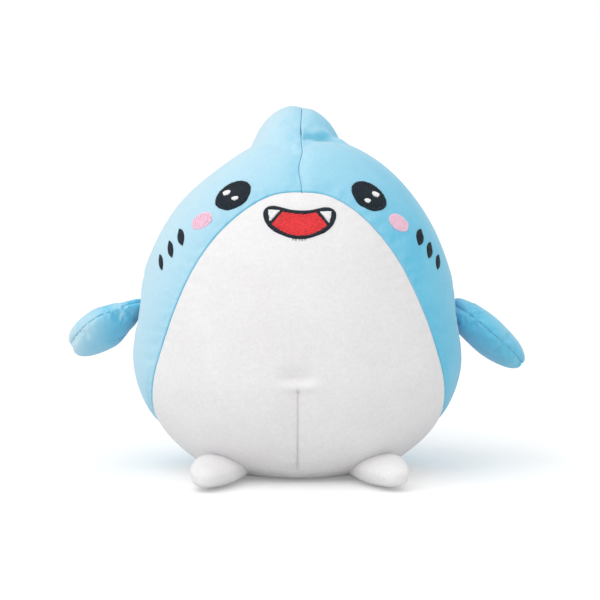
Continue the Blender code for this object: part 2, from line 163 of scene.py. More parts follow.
def dorsal_radius(way):
    """Distance to the dorsal fin's outside: a rounded bump about a leaning line, longer than it is thick."""
    along = unit(np.array([FIN_LEAN_ASIDE, math.sin(FIN_LEAN), math.cos(FIN_LEAN)]))
    side = unit(np.array([1.0, 0.0, 0.0]) - along * along[0])
    back = np.cross(side, along)
    back = back * np.sign(back[1])
    run = way @ back
    length = np.where(run > 0, FIN_HALF_LENGTH_BACK, FIN_HALF_LENGTH_FRONT)
    off = (way @ side / FIN_HALF_THICKNESS) ** 2 + (run / length) ** 2
    bump = FIN_BASE_RADIUS + FIN_RISE * np.sqrt(np.clip(1.0 - off, 0.0, 1.0))
    return np.where((way @ along > 0) & (off < 1), bump, 0.0)


def skin_radius(way):
    """Distance from the body's centre to the fabric's outside along unit directions."""
    x, y, z = way[..., 0], way[..., 1], way[..., 2]
    depth = np.where(y < 0, FRONT_DEPTH, BACK_DEPTH)
    height = np.where(z > 0, UP_HEIGHT, DOWN_HEIGHT)
    power = np.where(z > 0, UPPER_POWER, LOWER_POWER)
    level = np.sqrt((x / HALF_WIDTH) ** 2 + (y / depth) ** 2)
    radius = (level**power + np.abs(z / height) ** power) ** (-1.0 / power)
    from_shoulder = np.arccos(np.clip(way @ np.array(SHOULDER_WAY), -1, 1))
    radius = radius * (1.0 - SHOULDER_DROP * hump(from_shoulder, SHOULDER_SPREAD))
    floor = np.where(z < -LEVEL, CENTRE[2] / np.maximum(-z, LEVEL), NO_FLOOR)
    radius = -smooth_max(-radius, -floor, FLOOR_ROUNDING)
    fillet = FIN_FILLET - FIN_FILLET_CHANGE * np.tanh(x / FIN_FILLET_SPREAD)
    return smooth_max(dorsal_radius(way), radius, fillet)


def skin(way):
    return CENTRE + way * skin_radius(way)[..., None]


def tangents(way):
    """Two directions square to unit directions and to each other."""
    across = unit(np.cross(way, OFF_AXIS))
    return across, np.cross(way, across)


def skin_normal(way):
    """Outward normal of the skin, from nearby skin points."""
    steps = [tangent * NORMAL_STEP for tangent in tangents(way)]
    normal = unit(np.cross(*(skin(unit(way + step)) - skin(unit(way - step)) for step in steps)))
    return normal * np.sign((normal * way).sum(-1, keepdims=True))


def rotated(first, second, degrees):
    """Two directions square to each other, turned in their own plane."""
    cosine, sine = math.cos(math.radians(degrees)), math.sin(math.radians(degrees))
    return first * cosine + second * sine, second * cosine - first * sine


def angle_between(a, b):
    return np.arccos(np.clip((a * b).sum(-1), -1, 1))


def slerp(a, b, share):
    """Great-circle blend of two sets of unit directions."""
    angle = angle_between(a, b)
    near = angle < 1e-6
    sine = np.where(near, 1.0, np.sin(angle))
    first = np.where(near, 1.0 - share, np.sin((1.0 - share) * angle) / sine)
    second = np.where(near, share, np.sin(share * angle) / sine)
    return unit(a * first[..., None] + b * second[..., None])


def smooth_line(points, count):
    """Catmull-Rom curve through points, as count points spaced evenly along it."""
    p = np.asarray(points, float)
    p = np.concatenate([[2 * p[0] - p[1]], p, [2 * p[-1] - p[-2]]])
    t = np.linspace(0, 1, 40, endpoint=False)[:, None]
    parts = []
    for a, b, c, d in zip(p[:-3], p[1:-2], p[2:-1], p[3:]):
        square, cube = 2 * a - 5 * b + 4 * c - d, 3 * b - a - 3 * c + d
        parts.append(0.5 * (2 * b + (c - a) * t + square * t**2 + cube * t**3))
    return spaced(np.concatenate(parts + [p[-2:-1]]), count)


def lengths_along(line):
    return np.concatenate([[0.0], np.cumsum(np.linalg.norm(np.diff(line, axis=0), axis=1))])


def spaced(line, count):
    run = lengths_along(line)
    places = np.linspace(0, run[-1], count)
    return np.stack([np.interp(places, run, line[:, k]) for k in range(line.shape[1])], -1)


def crowded(count):
    """count + 1 values from 0 to 1 that lie closer together near both ends."""
    t = np.linspace(0, 1, 4001)
    density = 1.0 + END_CROWDING * (np.exp(-t / END_REACH) + np.exp(-(1 - t) / END_REACH))
    total = np.concatenate([[0.0], np.cumsum((density[1:] + density[:-1]) / 2)])
    return np.interp(np.linspace(0, total[-1], count + 1), total, t)


def warp(way):
    """Shifts directions sideways, as the hand-sewn middle seams and the left belly seam wander."""
    sideways, up = way[..., 0], way[..., 2]
    angle = np.degrees(np.arctan2(up, -way[..., 1]))
    marks = np.array(MIDDLE_WANDER, float)
    angle = np.where(angle < marks[0, 0], angle + 360.0, angle)
    fine = np.linspace(marks[0, 0], marks[-1, 0], WANDER_STEPS + 1)
    i = np.clip(np.searchsorted(marks[:, 0], fine, side="right") - 1, 0, len(marks) - 2)
    share = smooth_step(fine, marks[i, 0], marks[i + 1, 0])
    shift = marks[i, 1] + (marks[i + 1, 1] - marks[i, 1]) * share
    moved = way.copy()
    moved[..., 0] += np.interp(angle, fine, shift) * hump(sideways, WANDER_REACH)
    spread = hump(sideways - LEFT_SPREAD_PLACE[0], LEFT_SPREAD_REACH[0])
    moved[..., 0] -= LEFT_SPREAD * spread * hump(up - LEFT_SPREAD_PLACE[1], LEFT_SPREAD_REACH[1])
    return unit(moved)


def belly_edge(count):
    """Directions along the right-hand belly seam, from its top point down and round to its rear point."""
    azimuths, elevations = np.array(BELLY_EDGE).T
    return unit(smooth_line(direction(azimuths, elevations), count))


def middle_line(count, over_the_top):
    """Directions on the mirror plane from the belly's top point to its rear point, by front or by back."""
    half_turn = 180.0 if over_the_top else -180.0
    angle = np.radians(np.linspace(TOP_ELEVATION, half_turn - REAR_ELEVATION, count))
    return np.stack([0 * angle, -np.cos(angle), np.sin(angle)], -1)


def mirrored(way, side):
    return way * np.array([side, 1.0, 1.0])


# --- seams ---
class Seam:
    """A sewn line: its points and how far along it each one is."""

    def __init__(self, line, count=1500):
        self.line = spaced(np.asarray(line), count)
        self.run = lengths_along(self.line)
        self.tree = KDTree(count)
        for i, point in enumerate(self.line):
            self.tree.insert(point, i)
        self.tree.balance()

    def measure(self, points):
        """Each point's distance from the line, and the number of the line's point nearest to it."""
        found = np.array([self.tree.find(point)[1:] for point in points.reshape(-1, 3)])
        near, distance = found.T.reshape(2, *points.shape[:-1])
        return distance, near.astype(int)

    def middle_share(self, run, start, end):
        """1 along most of the line, fading to nought over a length at its start and one at its end."""
        length = self.run[-1]
        return smooth_step(run, 0.0, start) * (1.0 - smooth_step(run, length - end, length))


def roll(distance, radius):
    """Height, below nought, of fabric that turns in to a seam round an edge of the given radius."""
    inside = np.clip(1.0 - distance / radius, 0.0, 1.0)
    return -radius * (1.0 - np.sqrt(1.0 - inside**2))


def ripple(run, seed, shortest=4.2 * MM):
    """Uneven gathering along a seam, between about -1 and 1."""
    phases = np.random.default_rng(seed).uniform(0, 2 * math.pi, 5)
    total = 0.0
    for k, (stretch, weight) in enumerate(((1.0, 0.40), (1.37, 0.35), (2.1, 0.25), (3.9, 0.15))):
        total = total + weight * np.sin(2 * math.pi * run / (shortest * stretch) + phases[k])
    return total * (0.65 + 0.35 * np.sin(2 * math.pi * run / (9 * shortest) + phases[4]))


def gathers(size, distance, reach, start, wave):
    """Height of the small folds beside a seam, which start a little way from it and fade over a reach."""
    return size * np.exp(-distance / reach) * smooth_step(distance, 0.0, start) * wave


def unevenness(points, seed, size, wavelength=42 * MM):
    """Soft, broad lumps of the filling under the fabric."""
    rng = np.random.default_rng(seed)
    total = 0.0
    for _ in range(8):
        wave = unit(rng.normal(size=3)) * 2 * math.pi / (wavelength * rng.uniform(0.8, 1.6))
        total = total + np.sin(points @ wave + rng.uniform(0, 2 * math.pi))
    return total * size / 4


RIM = {side: Seam(skin(warp(mirrored(belly_edge(700), side)))) for side in (-1, 1)}
CROWN = Seam(skin(warp(middle_line(1500, True))))
DART = Seam(skin(warp(direction(np.zeros(200), np.linspace(NAVEL_ELEVATION, DART_END_ELEVATION, 200)))), 700)
CREASE_LINE = [
    (2.0, 83.0), (11.4, 83.5), (32.8, 83.8), (54.0, 83.0), (75.5, 81.3), (80.0, 79.0), (81.0, 76.0),
]
CREASE = Seam(skin(unit(smooth_line(direction(*np.array(CREASE_LINE).T), 200))), 400)


SEAM_PULL_REACH = 8 * MM
DART_DIP = 1.4 * MM
DART_DIP_REACH = 0.65 * MM
DART_PULL = 0.6 * MM
DART_GATHER = 0.22 * MM
DART_BANK = 0.35 * MM
DART_BANK_PLACE = 2.6 * MM
DART_BANK_REACH = 1.5 * MM
FOLD_HALF_WIDTH = 10 * MM
FOLD_DEPTH = 2.8 * MM
# how far the fold above the dart reaches upwards and downwards
FOLD_REACHES = (6 * MM, 3 * MM)
SHELF_HEIGHT = 2 * MM
SHELF_DROP = 5.6 * MM
SHELF_REACH = 2.9 * MM
DIMPLE_DEPTH = 2.2 * MM
DIMPLE_DROP = 1.2 * MM
DIMPLE_REACH = 1.5 * MM
CREASE_DEPTH = 1.5 * MM
# how far the crease reaches downwards and upwards
CREASE_REACHES = (1.2 * MM, 3.4 * MM)
HEAD_FULLNESS = 2 * MM
HEAD_FULLNESS_DROP = 6 * MM
HEAD_FULLNESS_REACH = 4.5 * MM


def seam_relief(points, seams, panel):
    """Height of the fabric over the smooth skin beside seams: rolled edges, a soft pull and small gathers."""
    height = 0.0
    for k, (seam, radius, pull, gather) in enumerate(seams):
        distance, near = seam.measure(points)
        height = height + roll(distance, radius) - pull * np.exp(-distance / SEAM_PULL_REACH)
        wave = ripple(seam.run[near], 10 * panel + k)
        height = height + gathers(gather, distance, 3.5 * MM, 1.2 * MM, wave)
    return height


def dart_relief(points):
    """The sewn dart below the navel, and the little shelf of fabric where it starts."""
    distance, near = DART.measure(points)
    run = DART.run[near]
    height = gathers(DART_GATHER, distance, 4 * MM, MM, ripple(run, 91))
    height = height - DART_DIP * hump(distance, DART_DIP_REACH) - DART_PULL * np.exp(-distance / (9 * MM))
    height = height + DART_BANK * hump(distance - DART_BANK_PLACE, DART_BANK_REACH)
    height = height * DART.middle_share(run, 3 * MM, 12 * MM)
    start = DART.line[0]
    across = (points[..., 0] - start[0]) / FOLD_HALF_WIDTH
    above = points[..., 2] - start[2] - NAVEL_FOLD
    front = smooth_step(-points[..., 1], -CENTRE[1], -CENTRE[1] + 30 * MM)
    reach = np.where(above > 0, *FOLD_REACHES) * (1.0 - 0.25 * np.minimum(across**2, 1.0))
    fold = -FOLD_DEPTH * np.exp(-((np.abs(above) / reach) ** 1.8)) * np.exp(-(across**4))
    shelf = SHELF_HEIGHT * hump(above + SHELF_DROP, SHELF_REACH) * np.exp(-(across**2) * 1.2)
    from_dimple = np.linalg.norm(points - (start - np.array([0.0, 0.0, DIMPLE_DROP])), axis=-1)
    return height + front * (fold + shelf - DIMPLE_DEPTH * hump(from_dimple, DIMPLE_REACH))


def crease_relief(points):
    """The fold where the dorsal fin's right-hand side meets the head, and the head's fullness below it."""
    distance, near = CREASE.measure(points)
    slope = unit(np.gradient(CREASE.line, axis=0))[near]
    below = -np.sign(np.cross(slope, points - CREASE.line[near])[..., 1]) * distance
    dip = -CREASE_DEPTH * hump(distance, np.where(below > 0, *CREASE_REACHES))
    fullness = HEAD_FULLNESS * hump(below - HEAD_FULLNESS_DROP, HEAD_FULLNESS_REACH)
    return CREASE.middle_share(CREASE.run[near], 6 * MM, 8 * MM) * (dip + fullness)


# --- meshes ---
def grid_sheet(points, inside, wrap=False):
    """Open sheet through a grid of points, faces turned away from the point inside."""
    rows, columns = points.shape[:2]
    bm = bmesh.new()
    verts = [bm.verts.new(p) for p in points.reshape(-1, 3)]
    for row in range(0, (rows - 1) * columns, columns):
        for j in range(columns if wrap else columns - 1):
            k = (j + 1) % columns
            bm.faces.new([verts[n] for n in (row + j, row + k, row + columns + k, row + columns + j)])
    bmesh.ops.remove_doubles(bm, verts=bm.verts, dist=2e-6)
    bm.normal_update()
    centre = Vector(inside)
    if sum(f.normal.dot(f.calc_center_median() - centre) * f.calc_area() for f in bm.faces) < 0:
        bmesh.ops.reverse_faces(bm, faces=bm.faces)
    bm.normal_update()
    return bm


def thicken(bm, thickness):
    """Gives an open sheet of fabric its thickness, on its inner side."""
    inward = bm.verts.layers.float_vector.new("inward")
    for vert in bm.verts:
        vert[inward] = -vert.normal * thickness
    made = bmesh.ops.extrude_face_region(bm, geom=list(bm.faces), use_keep_orig=True)["geom"]
    for vert in (g for g in made if isinstance(g, bmesh.types.BMVert)):
        vert.co += vert[inward]
    bmesh.ops.recalc_face_normals(bm, faces=bm.faces)


def placed(name, data):
    """New object in the scene that shows a mesh, a lamp or a camera."""
    obj = bpy.data.objects.new(name, data)
    bpy.context.scene.collection.objects.link(obj)
    return obj


def shown(name, mesh, material):
    mesh.polygons.foreach_set("use_smooth", [True] * len(mesh.polygons))
    mesh.materials.append(material)
    return placed(name, mesh)


def stuffed(name, bm, material, body, node_name):
    """A padded piece: its mesh, the body it rides on, where its finish comes from and the solid it stands
    for.
    A limb's piece, given as a tuple, rides on no body and stays where it is made; the tuple's bend stretch is
    not used.
    """
    mesh = bpy.data.meshes.new(name)
    bm.to_mesh(mesh)
    bm.free()
    obj = shown(name, mesh, material)
    if isinstance(body, tuple):
        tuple(body[2])
        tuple(body[3])
        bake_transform(obj)
    else:
        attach(obj, body)
    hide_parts(node_name)


# --- materials ---
class Nodes:
    """A node tree that is being filled: each call adds a node and gives one of its outputs."""

    def __init__(self, tree):
        self.tree = tree

    def feed(self, socket, value):
        """Gives an input its value: another node's output, a number, a vector or a colour."""
        if isinstance(value, bpy.types.NodeSocket):
            self.tree.links.new(value, socket)
        else:
            socket.default_value = (*value, 1.0) if socket.type == "RGBA" else value

    def adjust(self, node, **settings):
        """Each setting is an input's name, with _ for a space, or a property's."""
        for name, value in settings.items():
            label = name.replace("_", " ")
            if label in node.inputs:
                self.feed(node.inputs[label], value)
            else:
                setattr(node, name, value)

    def __call__(self, kind, *values, output=0, **settings):
        """The values go to the new node's inputs in order."""
        node = self.tree.nodes.new("ShaderNode" + kind)
        self.adjust(node, **settings)
        for socket, value in zip(node.inputs, values):
            self.feed(socket, value)
        return node.outputs[output]

    def mixed(self, share, first, second, kind="RGBA"):
        """Part of the way from one colour, or number if the kind is FLOAT, to another."""
        node = self.tree.nodes.new("ShaderNodeMix")
        node.data_type = kind
        sockets = [socket for socket in node.inputs if socket.enabled]
        for socket, value in zip(sockets, (share, first, second)):
            self.feed(socket, value)
        return next(socket for socket in node.outputs if socket.enabled)

    def noise(self, place, scale, detail, roughness=0.5, distortion=0.0):
        settings = {"Scale": scale, "Detail": detail, "Roughness": roughness, "Distortion": distortion}
        return self("TexNoise", place, output="Fac", **settings)


def new_material(name):
    """A material, its shader and what adds nodes to it."""
    material = bpy.data.materials.new(name)
    material.use_nodes = True
    return material, material.node_tree.nodes["Principled BSDF"], Nodes(material.node_tree)


# painted light: where the surface faces the first way below, towards the key lamp, the fabric is mixed
# towards the pale colour after it
PAINTED_LIGHT_FROM = (-0.80, -0.15, 0.58)
PAINTED_LIGHT_COLOUR = (0.62, 0.80, 0.88)
NAP = 0.5
TUFT_SHARE = 0.45


def fabric_material(name, tones, sheen, painted_light_share, lit_side=PAINTED_LIGHT_FROM):
    """Short pile: soft patches where the pile leans, fine fibre grain, a velvet sheen, and painted light that
    pales the side facing the key lamp.
    """
    material, shader, add = new_material(name)
    colour, pale, deep = tones
    place = add("TexCoord", output="Object")
    patches = add("MapRange", add.noise(place, 26.0, 3.0, 0.55, 0.6), 0.34, 0.66, 0.0, 1.0)
    base = add.mixed(NAP, colour, add.mixed(patches, deep, pale))
    # painted light: the colour is paled where the normal faces the key lamp's side, by up to the given share
    normal = add("TexCoord", output="Normal")
    toward_key_lamp = add("VectorMath", normal, lit_side, output="Value", operation="DOT_PRODUCT")
    base = add.mixed(add("MapRange", toward_key_lamp, -0.2, 1.0, 0.0, painted_light_share), base, PAINTED_LIGHT_COLOUR)
    fibre = add.noise(add("Mapping", place, Scale=(1.0, 1.0, 0.45)), 1500.0, 2.0, 0.6)
    grain = add.mixed(TUFT_SHARE, fibre, add.noise(place, 420.0, 3.0, 0.6), "FLOAT")
    shade = add("MapRange", grain, 0.3, 0.7, 0.93, 1.05)
    shaded = add("VectorMath", base, operation="SCALE", Scale=shade)
    bump = add("Bump", Strength=0.55, Distance=0.25 * MM, Height=grain)
    add.adjust(shader, Base_Color=shaded, Normal=bump, Roughness=0.92, Specular_IOR_Level=0.25)
    add.adjust(shader, Sheen_Weight=sheen[0], Sheen_Roughness=0.55, Sheen_Tint=sheen[1])
    return material


def thread_material(name, colour, variation):
    """Twisted embroidery thread: plies run slantwise round each strand, and strands differ a little."""
    material, shader, add = new_material(name)
    speckle = add.noise(add("TexCoord", output="Object"), 700.0, 2.0)
    shade = add("MapRange", speckle, 0.3, 0.7, 1.0 - variation, 1.0 + variation)
    shaded = add("VectorMath", colour, operation="SCALE", Scale=shade)
    turns = add("TexCoord", output="UV")
    plies = add("TexWave", turns, 1.0, output="Fac", wave_type="BANDS", bands_direction="DIAGONAL")
    bump = add("Bump", Strength=0.5, Distance=0.08 * MM, Height=plies)
    add.adjust(shader, Base_Color=shaded, Normal=bump, Roughness=0.48, Specular_IOR_Level=0.3)
    add.adjust(shader, Sheen_Weight=0.06, Sheen_Roughness=0.4)
    return material


def filling_material():
    """Loose white fibre filling."""
    material, shader, add = new_material("fibre_filling")
    fluff = add.noise(add("TexCoord", output="Object"), 160.0, 8.0, 0.7, 1.5)
    colour = add.mixed(fluff, (0.72, 0.72, 0.70), (0.93, 0.93, 0.92))
    bump = add("Bump", Strength=1.0, Distance=1.0 * MM, Height=fluff)
    add.adjust(shader, Base_Color=colour, Normal=bump, Roughness=1.0, Sheen_Weight=0.4)
    return material


# the fabric's own colour, and where its pile lies pale and deep; the sheen's weight and tint
BLUE_TONES = ((0.13, 0.56, 0.79), (0.19, 0.61, 0.81), (0.09, 0.51, 0.77))
WHITE_TONES = ((0.83, 0.82, 0.83), (0.86, 0.86, 0.86), (0.80, 0.79, 0.81))
BLUE_SHEEN = (0.45, (0.95, 0.95, 0.95))
WHITE_SHEEN = (0.15, (1.0, 1.0, 1.0))
# the last number is how far painted light pales each blue on its side facing the key lamp; the two fins get a
# painted-lit and a painted-shade copy
BLUE = fabric_material("blue_pile", BLUE_TONES, BLUE_SHEEN, 0.75)
FIN_LIT_AND_SHADED_BLUES = {
    "left": fabric_material("left_fin_pile_painted_lit", BLUE_TONES, BLUE_SHEEN, 0.75, (-0.88, -0.44, -0.18)),
    "right": fabric_material("right_fin_pile_painted_shade", BLUE_TONES, BLUE_SHEEN, 0.18),
}
WHITE = fabric_material("white_pile", WHITE_TONES, WHITE_SHEEN, 0.0)
FILLING = filling_material()
THREADS = {
    "black_thread": thread_material("black_stitches", (0.008, 0.018, 0.030), 0.35),
    "white_thread": thread_material("white_stitches", (0.93, 0.93, 0.93), 0.04),
    "red_thread": thread_material("red_stitches", (0.88, 0.055, 0.065), 0.14),
    "pink_thread": thread_material("pink_stitches", (0.95, 0.64, 0.78), 0.07),
}


# --- side fins: where they are, and their panels' fullness ---
JOINTS = {joint["name"]: joint for joint in frame["joints"]}
FIN_HALF_CHORD = 26 * MM
FIN_HIDDEN = 8 * MM
FIN_SWEEP = 0.24
FIN_ROOT_X = 101.8 * MM
FIN_WIDENING = 30 * MM
FIN_GROWTH = 26 * MM
FIN_TAPER = 0.08
# the two fins were stuffed unevenly: sizes in millimetres, turns in degrees, and shares of chord and depth
FIN_SHAPES = {
    "left": {
        "length": 46.3, "droop": 27.7, "tilt": 23, "raise": 3.2, "depth": 11.0,
        "chord": 0.63, "root": 0.50, "tip": 0.32,
    },
    "right": {
        "length": 53.2, "droop": 39.0, "tilt": 9, "raise": -2.2, "depth": 10.6,
        "chord": 0.97, "root": 0.90, "tip": 0.47,
    },
}
SIDES = {"left": -1, "right": 1}
LENS_POWER = 0.60
ROOT_LENS_POWER = 0.22
PANEL_GAP = 0.05 * MM


def lens(share, angle, tip_power):
    """Thickness of a two-panel form, 1 in its middle: blunt at the tip, fuller still at the root."""
    rootness = smooth_step(-np.cos(angle), 0.2, 1.0)
    tipness = smooth_step(np.cos(angle), 0.3, 1.0)
    power = LENS_POWER + (ROOT_LENS_POWER - LENS_POWER) * rootness + (tip_power - LENS_POWER) * tipness
    return np.clip(1.0 - share**2, 0.0, 1.0) ** power


def grown(at_root, run, start, end):
    """A measure that grows from its share at the root to 1 along a run."""
    return at_root + (1.0 - at_root) * smooth_step(run, start, end)


def fin_axes(name):
    """Where a side fin leaves the body, and its directions outwards, forwards and through its thickness."""
    side, shape = SIDES[name], FIN_SHAPES[name]
    up, out = rotated(np.array([0.0, 0.0, 1.0]), np.array([side, 0.0, 0.0]), shape["droop"])
    leading, through = rotated(np.array([0.0, -1.0, 0.0]), up, shape["tilt"])
    hinge = np.array(JOINTS[f"{name}_fin_flap"]["pos_m"])
    root = hinge - out * ((abs(hinge[0]) - FIN_ROOT_X) / abs(out[0]))
    return root + np.array([0.0, 0.0, shape["raise"] * MM]), out, leading, through


# --- how the covers settle over their filling ---
SETTLING_SCALE = 10.0
SETTLING_FRAMES = 20
CLOTH = {
    "quality": 6, "mass": 0.3, "tension_stiffness": 18, "compression_stiffness": 18, "shear_stiffness": 6,
    "use_pressure": True, "vertex_group_mass": "held",
}
# inner pressure, looseness, stiffness against bending, and the furthest that a point may move
BODY_CLOTH = (4.0, 0.012, 0.35, 1.5 * MM)
PANEL_CLOTH = (2.5, 0.09, 1.4, 1.0 * MM)
BODY_SINK = 0.8 * MM
RIM_HOLD = 0.6
# how far from the seams, the fins' roots and the floor the cloth is held fast, and where it is wholly free
SEAM_HOLD = (1.5 * MM, 6 * MM)
ROOT_HOLD = (20 * MM, 30 * MM)
FLOOR_HOLD = (2 * MM, 9 * MM)


def settled(points, faces, held, pressure, looseness, bending, cap):
    """Cloth simulation of a sewn, filled cover: how far each point moves, no further than the cap."""
    mesh = bpy.data.meshes.new("settling")
    mesh.from_pydata([tuple(p) for p in points * SETTLING_SCALE], [], faces)
    obj = placed("settling", mesh)
    scene = bpy.context.scene
    group = obj.vertex_groups.new(name="held")
    for i, weight in enumerate(held):
        if weight > 0.01:
            group.add([i], float(weight), "REPLACE")
    cloth = obj.modifiers.new("cloth", "CLOTH")
    settings = cloth.settings
    for setting, value in CLOTH.items():
        setattr(settings, setting, value)
    settings.bending_stiffness = bending
    settings.uniform_pressure_force = pressure
    settings.shrink_min = -looseness
    settings.effector_weights.gravity = 0.0
    cloth.collision_settings.use_collision = False
    cloth.collision_settings.use_self_collision = False
    cloth.point_cache.frame_start = 1
    cloth.point_cache.frame_end = SETTLING_FRAMES
    for frame_number in range(1, SETTLING_FRAMES + 1):
        scene.frame_set(frame_number)
    shape = obj.evaluated_get(bpy.context.evaluated_depsgraph_get()).data
    moved = np.zeros(len(points) * 3)
    shape.vertices.foreach_get("co", moved)
    scene.frame_set(1)
    bpy.data.objects.remove(obj)
    offset = moved.reshape(-1, 3) / SETTLING_SCALE - points
    length = np.linalg.norm(offset, axis=1, keepdims=True)
    return offset * (cap * np.tanh(length / cap) / np.maximum(length, 1e-9))


def body_settling():
    """Radial lift of the settled body cover over its smooth form, as a function of direction."""
    ball = bmesh.new()
    bmesh.ops.create_icosphere(ball, subdivisions=6, radius=1.0)
    way = unit(np.array([v.co for v in ball.verts]))
    faces = [tuple(v.index for v in f.verts) for f in ball.faces]
    ball.free()
    points = skin(way)
    holds = [(seam.measure(points)[0], SEAM_HOLD) for seam in (*RIM.values(), CROWN, DART)]
    holds += [(np.linalg.norm(points - fin_axes(name)[0], axis=1), ROOT_HOLD) for name in SIDES]
    holds.append((points[:, 2], FLOOR_HOLD))
    held = np.max([1.0 - smooth_step(distance, *fade) for distance, fade in holds], axis=0)
    offset = settled(points, faces, held, *BODY_CLOTH)
    before = BVHTree.FromPolygons([tuple(p) for p in points], faces)
    after = BVHTree.FromPolygons([tuple(p) for p in points + offset], faces)

    def lift(way):
        rays = [(Vector(CENTRE), Vector(w)) for w in way.reshape(-1, 3)]
        change = [after.ray_cast(*ray)[3] - before.ray_cast(*ray)[3] for ray in rays]
        return np.array(change).reshape(way.shape[:-1]) - BODY_SINK

    return lift


BODY_LIFT = body_settling()
BODY_LUMP = 0.35 * MM
# the oval round a side fin's root, and how far the fabric dips along it and within it
ROOT_HALVES = (30 * MM, 19 * MM, 11 * MM)
ROOT_RING_DEPTH = 1.2 * MM
ROOT_DEPTH = 1.0 * MM
RIM_PULL = 0.5 * MM
CROWN_PULL = 0.6 * MM
CROWN_GATHER = 0.30 * MM
# gathers beside the belly seam, on the side panels and on the belly panel
RIM_GATHERS = (0.16 * MM, 0.12 * MM)


def panel_rows(start, end, share, sewn_start):
    """Rows of directions from one line to another, clear of the seams, and each column's depth. At a seam,
    which the end always is, columns are added that turn in under it."""
    turned = np.array(ALLOWANCE)
    first = turned[::-1] if sewn_start else turned[:0]
    depth = np.concatenate([first, 0 * share, turned])
    share = np.concatenate([0 * first, share, 0 * turned + 1])
    length = angle_between(start, end)[:, None] * HALF_WIDTH
    gap = np.minimum(SEAM_GAP / np.maximum(length, 1e-9), 0.4)
    share = gap + share * (1.0 - 2.0 * gap) if sewn_start else share * (1.0 - gap)
    return slerp(start[:, None, :], end[:, None, :], share), depth


def body_sheet(way, depth, relief):
    """Sheet over the skin along these directions, raised by a relief, each column turned in by its depth."""
    points = skin(way)
    height = relief(points) + unevenness(points, 5, BODY_LUMP) + BODY_LIFT(way)
    return grid_sheet(points + skin_normal(way) * height[..., None] - way * depth[:, None], CENTRE)


def root_relief(points, side):
    """The body's fabric drawn in a little round a side fin's root."""
    root = fin_axes("left" if side < 0 else "right")[0]
    ring = np.linalg.norm((points - root) / ROOT_HALVES, axis=-1)
    return -ROOT_RING_DEPTH * hump(ring - 1.0, 0.22) - ROOT_DEPTH * (1.0 - smooth_step(ring, 0.6, 1.0))


def side_sheet(side):
    way, depth = panel_rows(belly_edge(ROWS + 1), middle_line(ROWS + 1, True), crowded(SIDE_COLUMNS), True)

    def relief(points):
        rim = (RIM[side], RIM_ROLL, RIM_PULL, RIM_GATHERS[0])
        seams = (rim, (CROWN, CROWN_ROLL, CROWN_PULL, CROWN_GATHER))
        height = seam_relief(points, seams, 2 + side) + root_relief(points, side)
        return height + crease_relief(points) if side > 0 else height

    return body_sheet(warp(mirrored(way, side)), depth, relief)


def belly_sheet():
    start, end = middle_line(ROWS + 1, False), belly_edge(ROWS + 1)
    half, depth = panel_rows(start, end, crowded(BELLY_COLUMNS), False)
    way = warp(np.concatenate([mirrored(half[:, :0:-1], -1), half], axis=1))

    def relief(points):
        seams = [(RIM[side], RIM_ROLL, RIM_PULL, RIM_GATHERS[1]) for side in (-1, 1)]
        return seam_relief(points, seams, 7) + dart_relief(points)

    return body_sheet(way, np.concatenate([depth[:0:-1], depth]), relief)


# --- side fins and tail: layouts of two panels sewn edge to edge ---
def fin_form(name, size=1.0):
    """Layout of a side fin: form(share out from its middle, angle round it, sign of its face)."""
    root, out, leading, through = fin_axes(name)
    shape = FIN_SHAPES[name]
    half_length = (shape["length"] * MM + FIN_HIDDEN) / 2
    middle_run = shape["length"] * MM - half_length

    def form(share, angle, sign):
        run = middle_run + half_length * size * share * np.cos(angle)
        width = grown(shape["chord"], run, -4 * MM, FIN_WIDENING)
        chord = FIN_HALF_CHORD * size * width * share * np.sin(angle) * (1.0 - FIN_TAPER * np.cos(angle))
        chord = chord - FIN_SWEEP * np.maximum(run, 0.0)
        depth = shape["depth"] * MM * size * grown(shape["root"], run, -2 * MM, FIN_GROWTH)
        bulge = depth * lens(share, angle, shape["tip"]) + PANEL_GAP
        return root + out * run[..., None] + leading * chord[..., None] + through * (sign * bulge)[..., None]

    return form


TAIL_HALF_THICKNESS = 12.5 * MM
TAIL_HALF_ROOT = 19 * MM
TAIL_LENGTH = 41 * MM
TAIL_HIDDEN = 18 * MM
TAIL_UPPER_FLARE = 1.25
TAIL_LOWER_FLARE = 0.65
TAIL_NOTCH = 0.38
TAIL_NOTCH_WIDTH = 0.32
TAIL_RISE = 0.10
TAIL_TAPER = 0.35
TAIL_TIP_POWER = 0.5


def tail_form(size=1.0):
    """Layout of the tail: form(share, angle, sign) for its left (-1) and right (1) faces."""
    hinge = np.array(JOINTS["tail_wag"]["pos_m"])

    def form(share, angle, sign):
        y, z = share * np.cos(angle), share * np.sin(angle)
        notch = 1.0 - TAIL_NOTCH * hump(z, TAIL_NOTCH_WIDTH)
        out = size * np.where(y > 0, y * TAIL_LENGTH * notch, y * TAIL_HIDDEN)
        reach = np.maximum(out, 0.0)
        flare = np.where(z > 0, TAIL_UPPER_FLARE, TAIL_LOWER_FLARE)
        height = TAIL_HALF_ROOT * size * z * (1.0 + flare * reach / TAIL_LENGTH) + TAIL_RISE * reach
        bulge = TAIL_HALF_THICKNESS * size * lens(share, angle, TAIL_TIP_POWER)
        bulge = bulge * (1.0 - TAIL_TAPER * np.clip(y, 0.0, 1.0)) + PANEL_GAP
        return hinge + np.stack([sign * bulge, out, height], -1)

    return form


# --- two-panel sewn forms ---
PANEL_RINGS = 34
PANEL_SPOKES = 160
PANEL_ROLL = 0.4 * MM
PANEL_GATHER = 0.35 * MM
PANEL_LUMP = 0.30 * MM


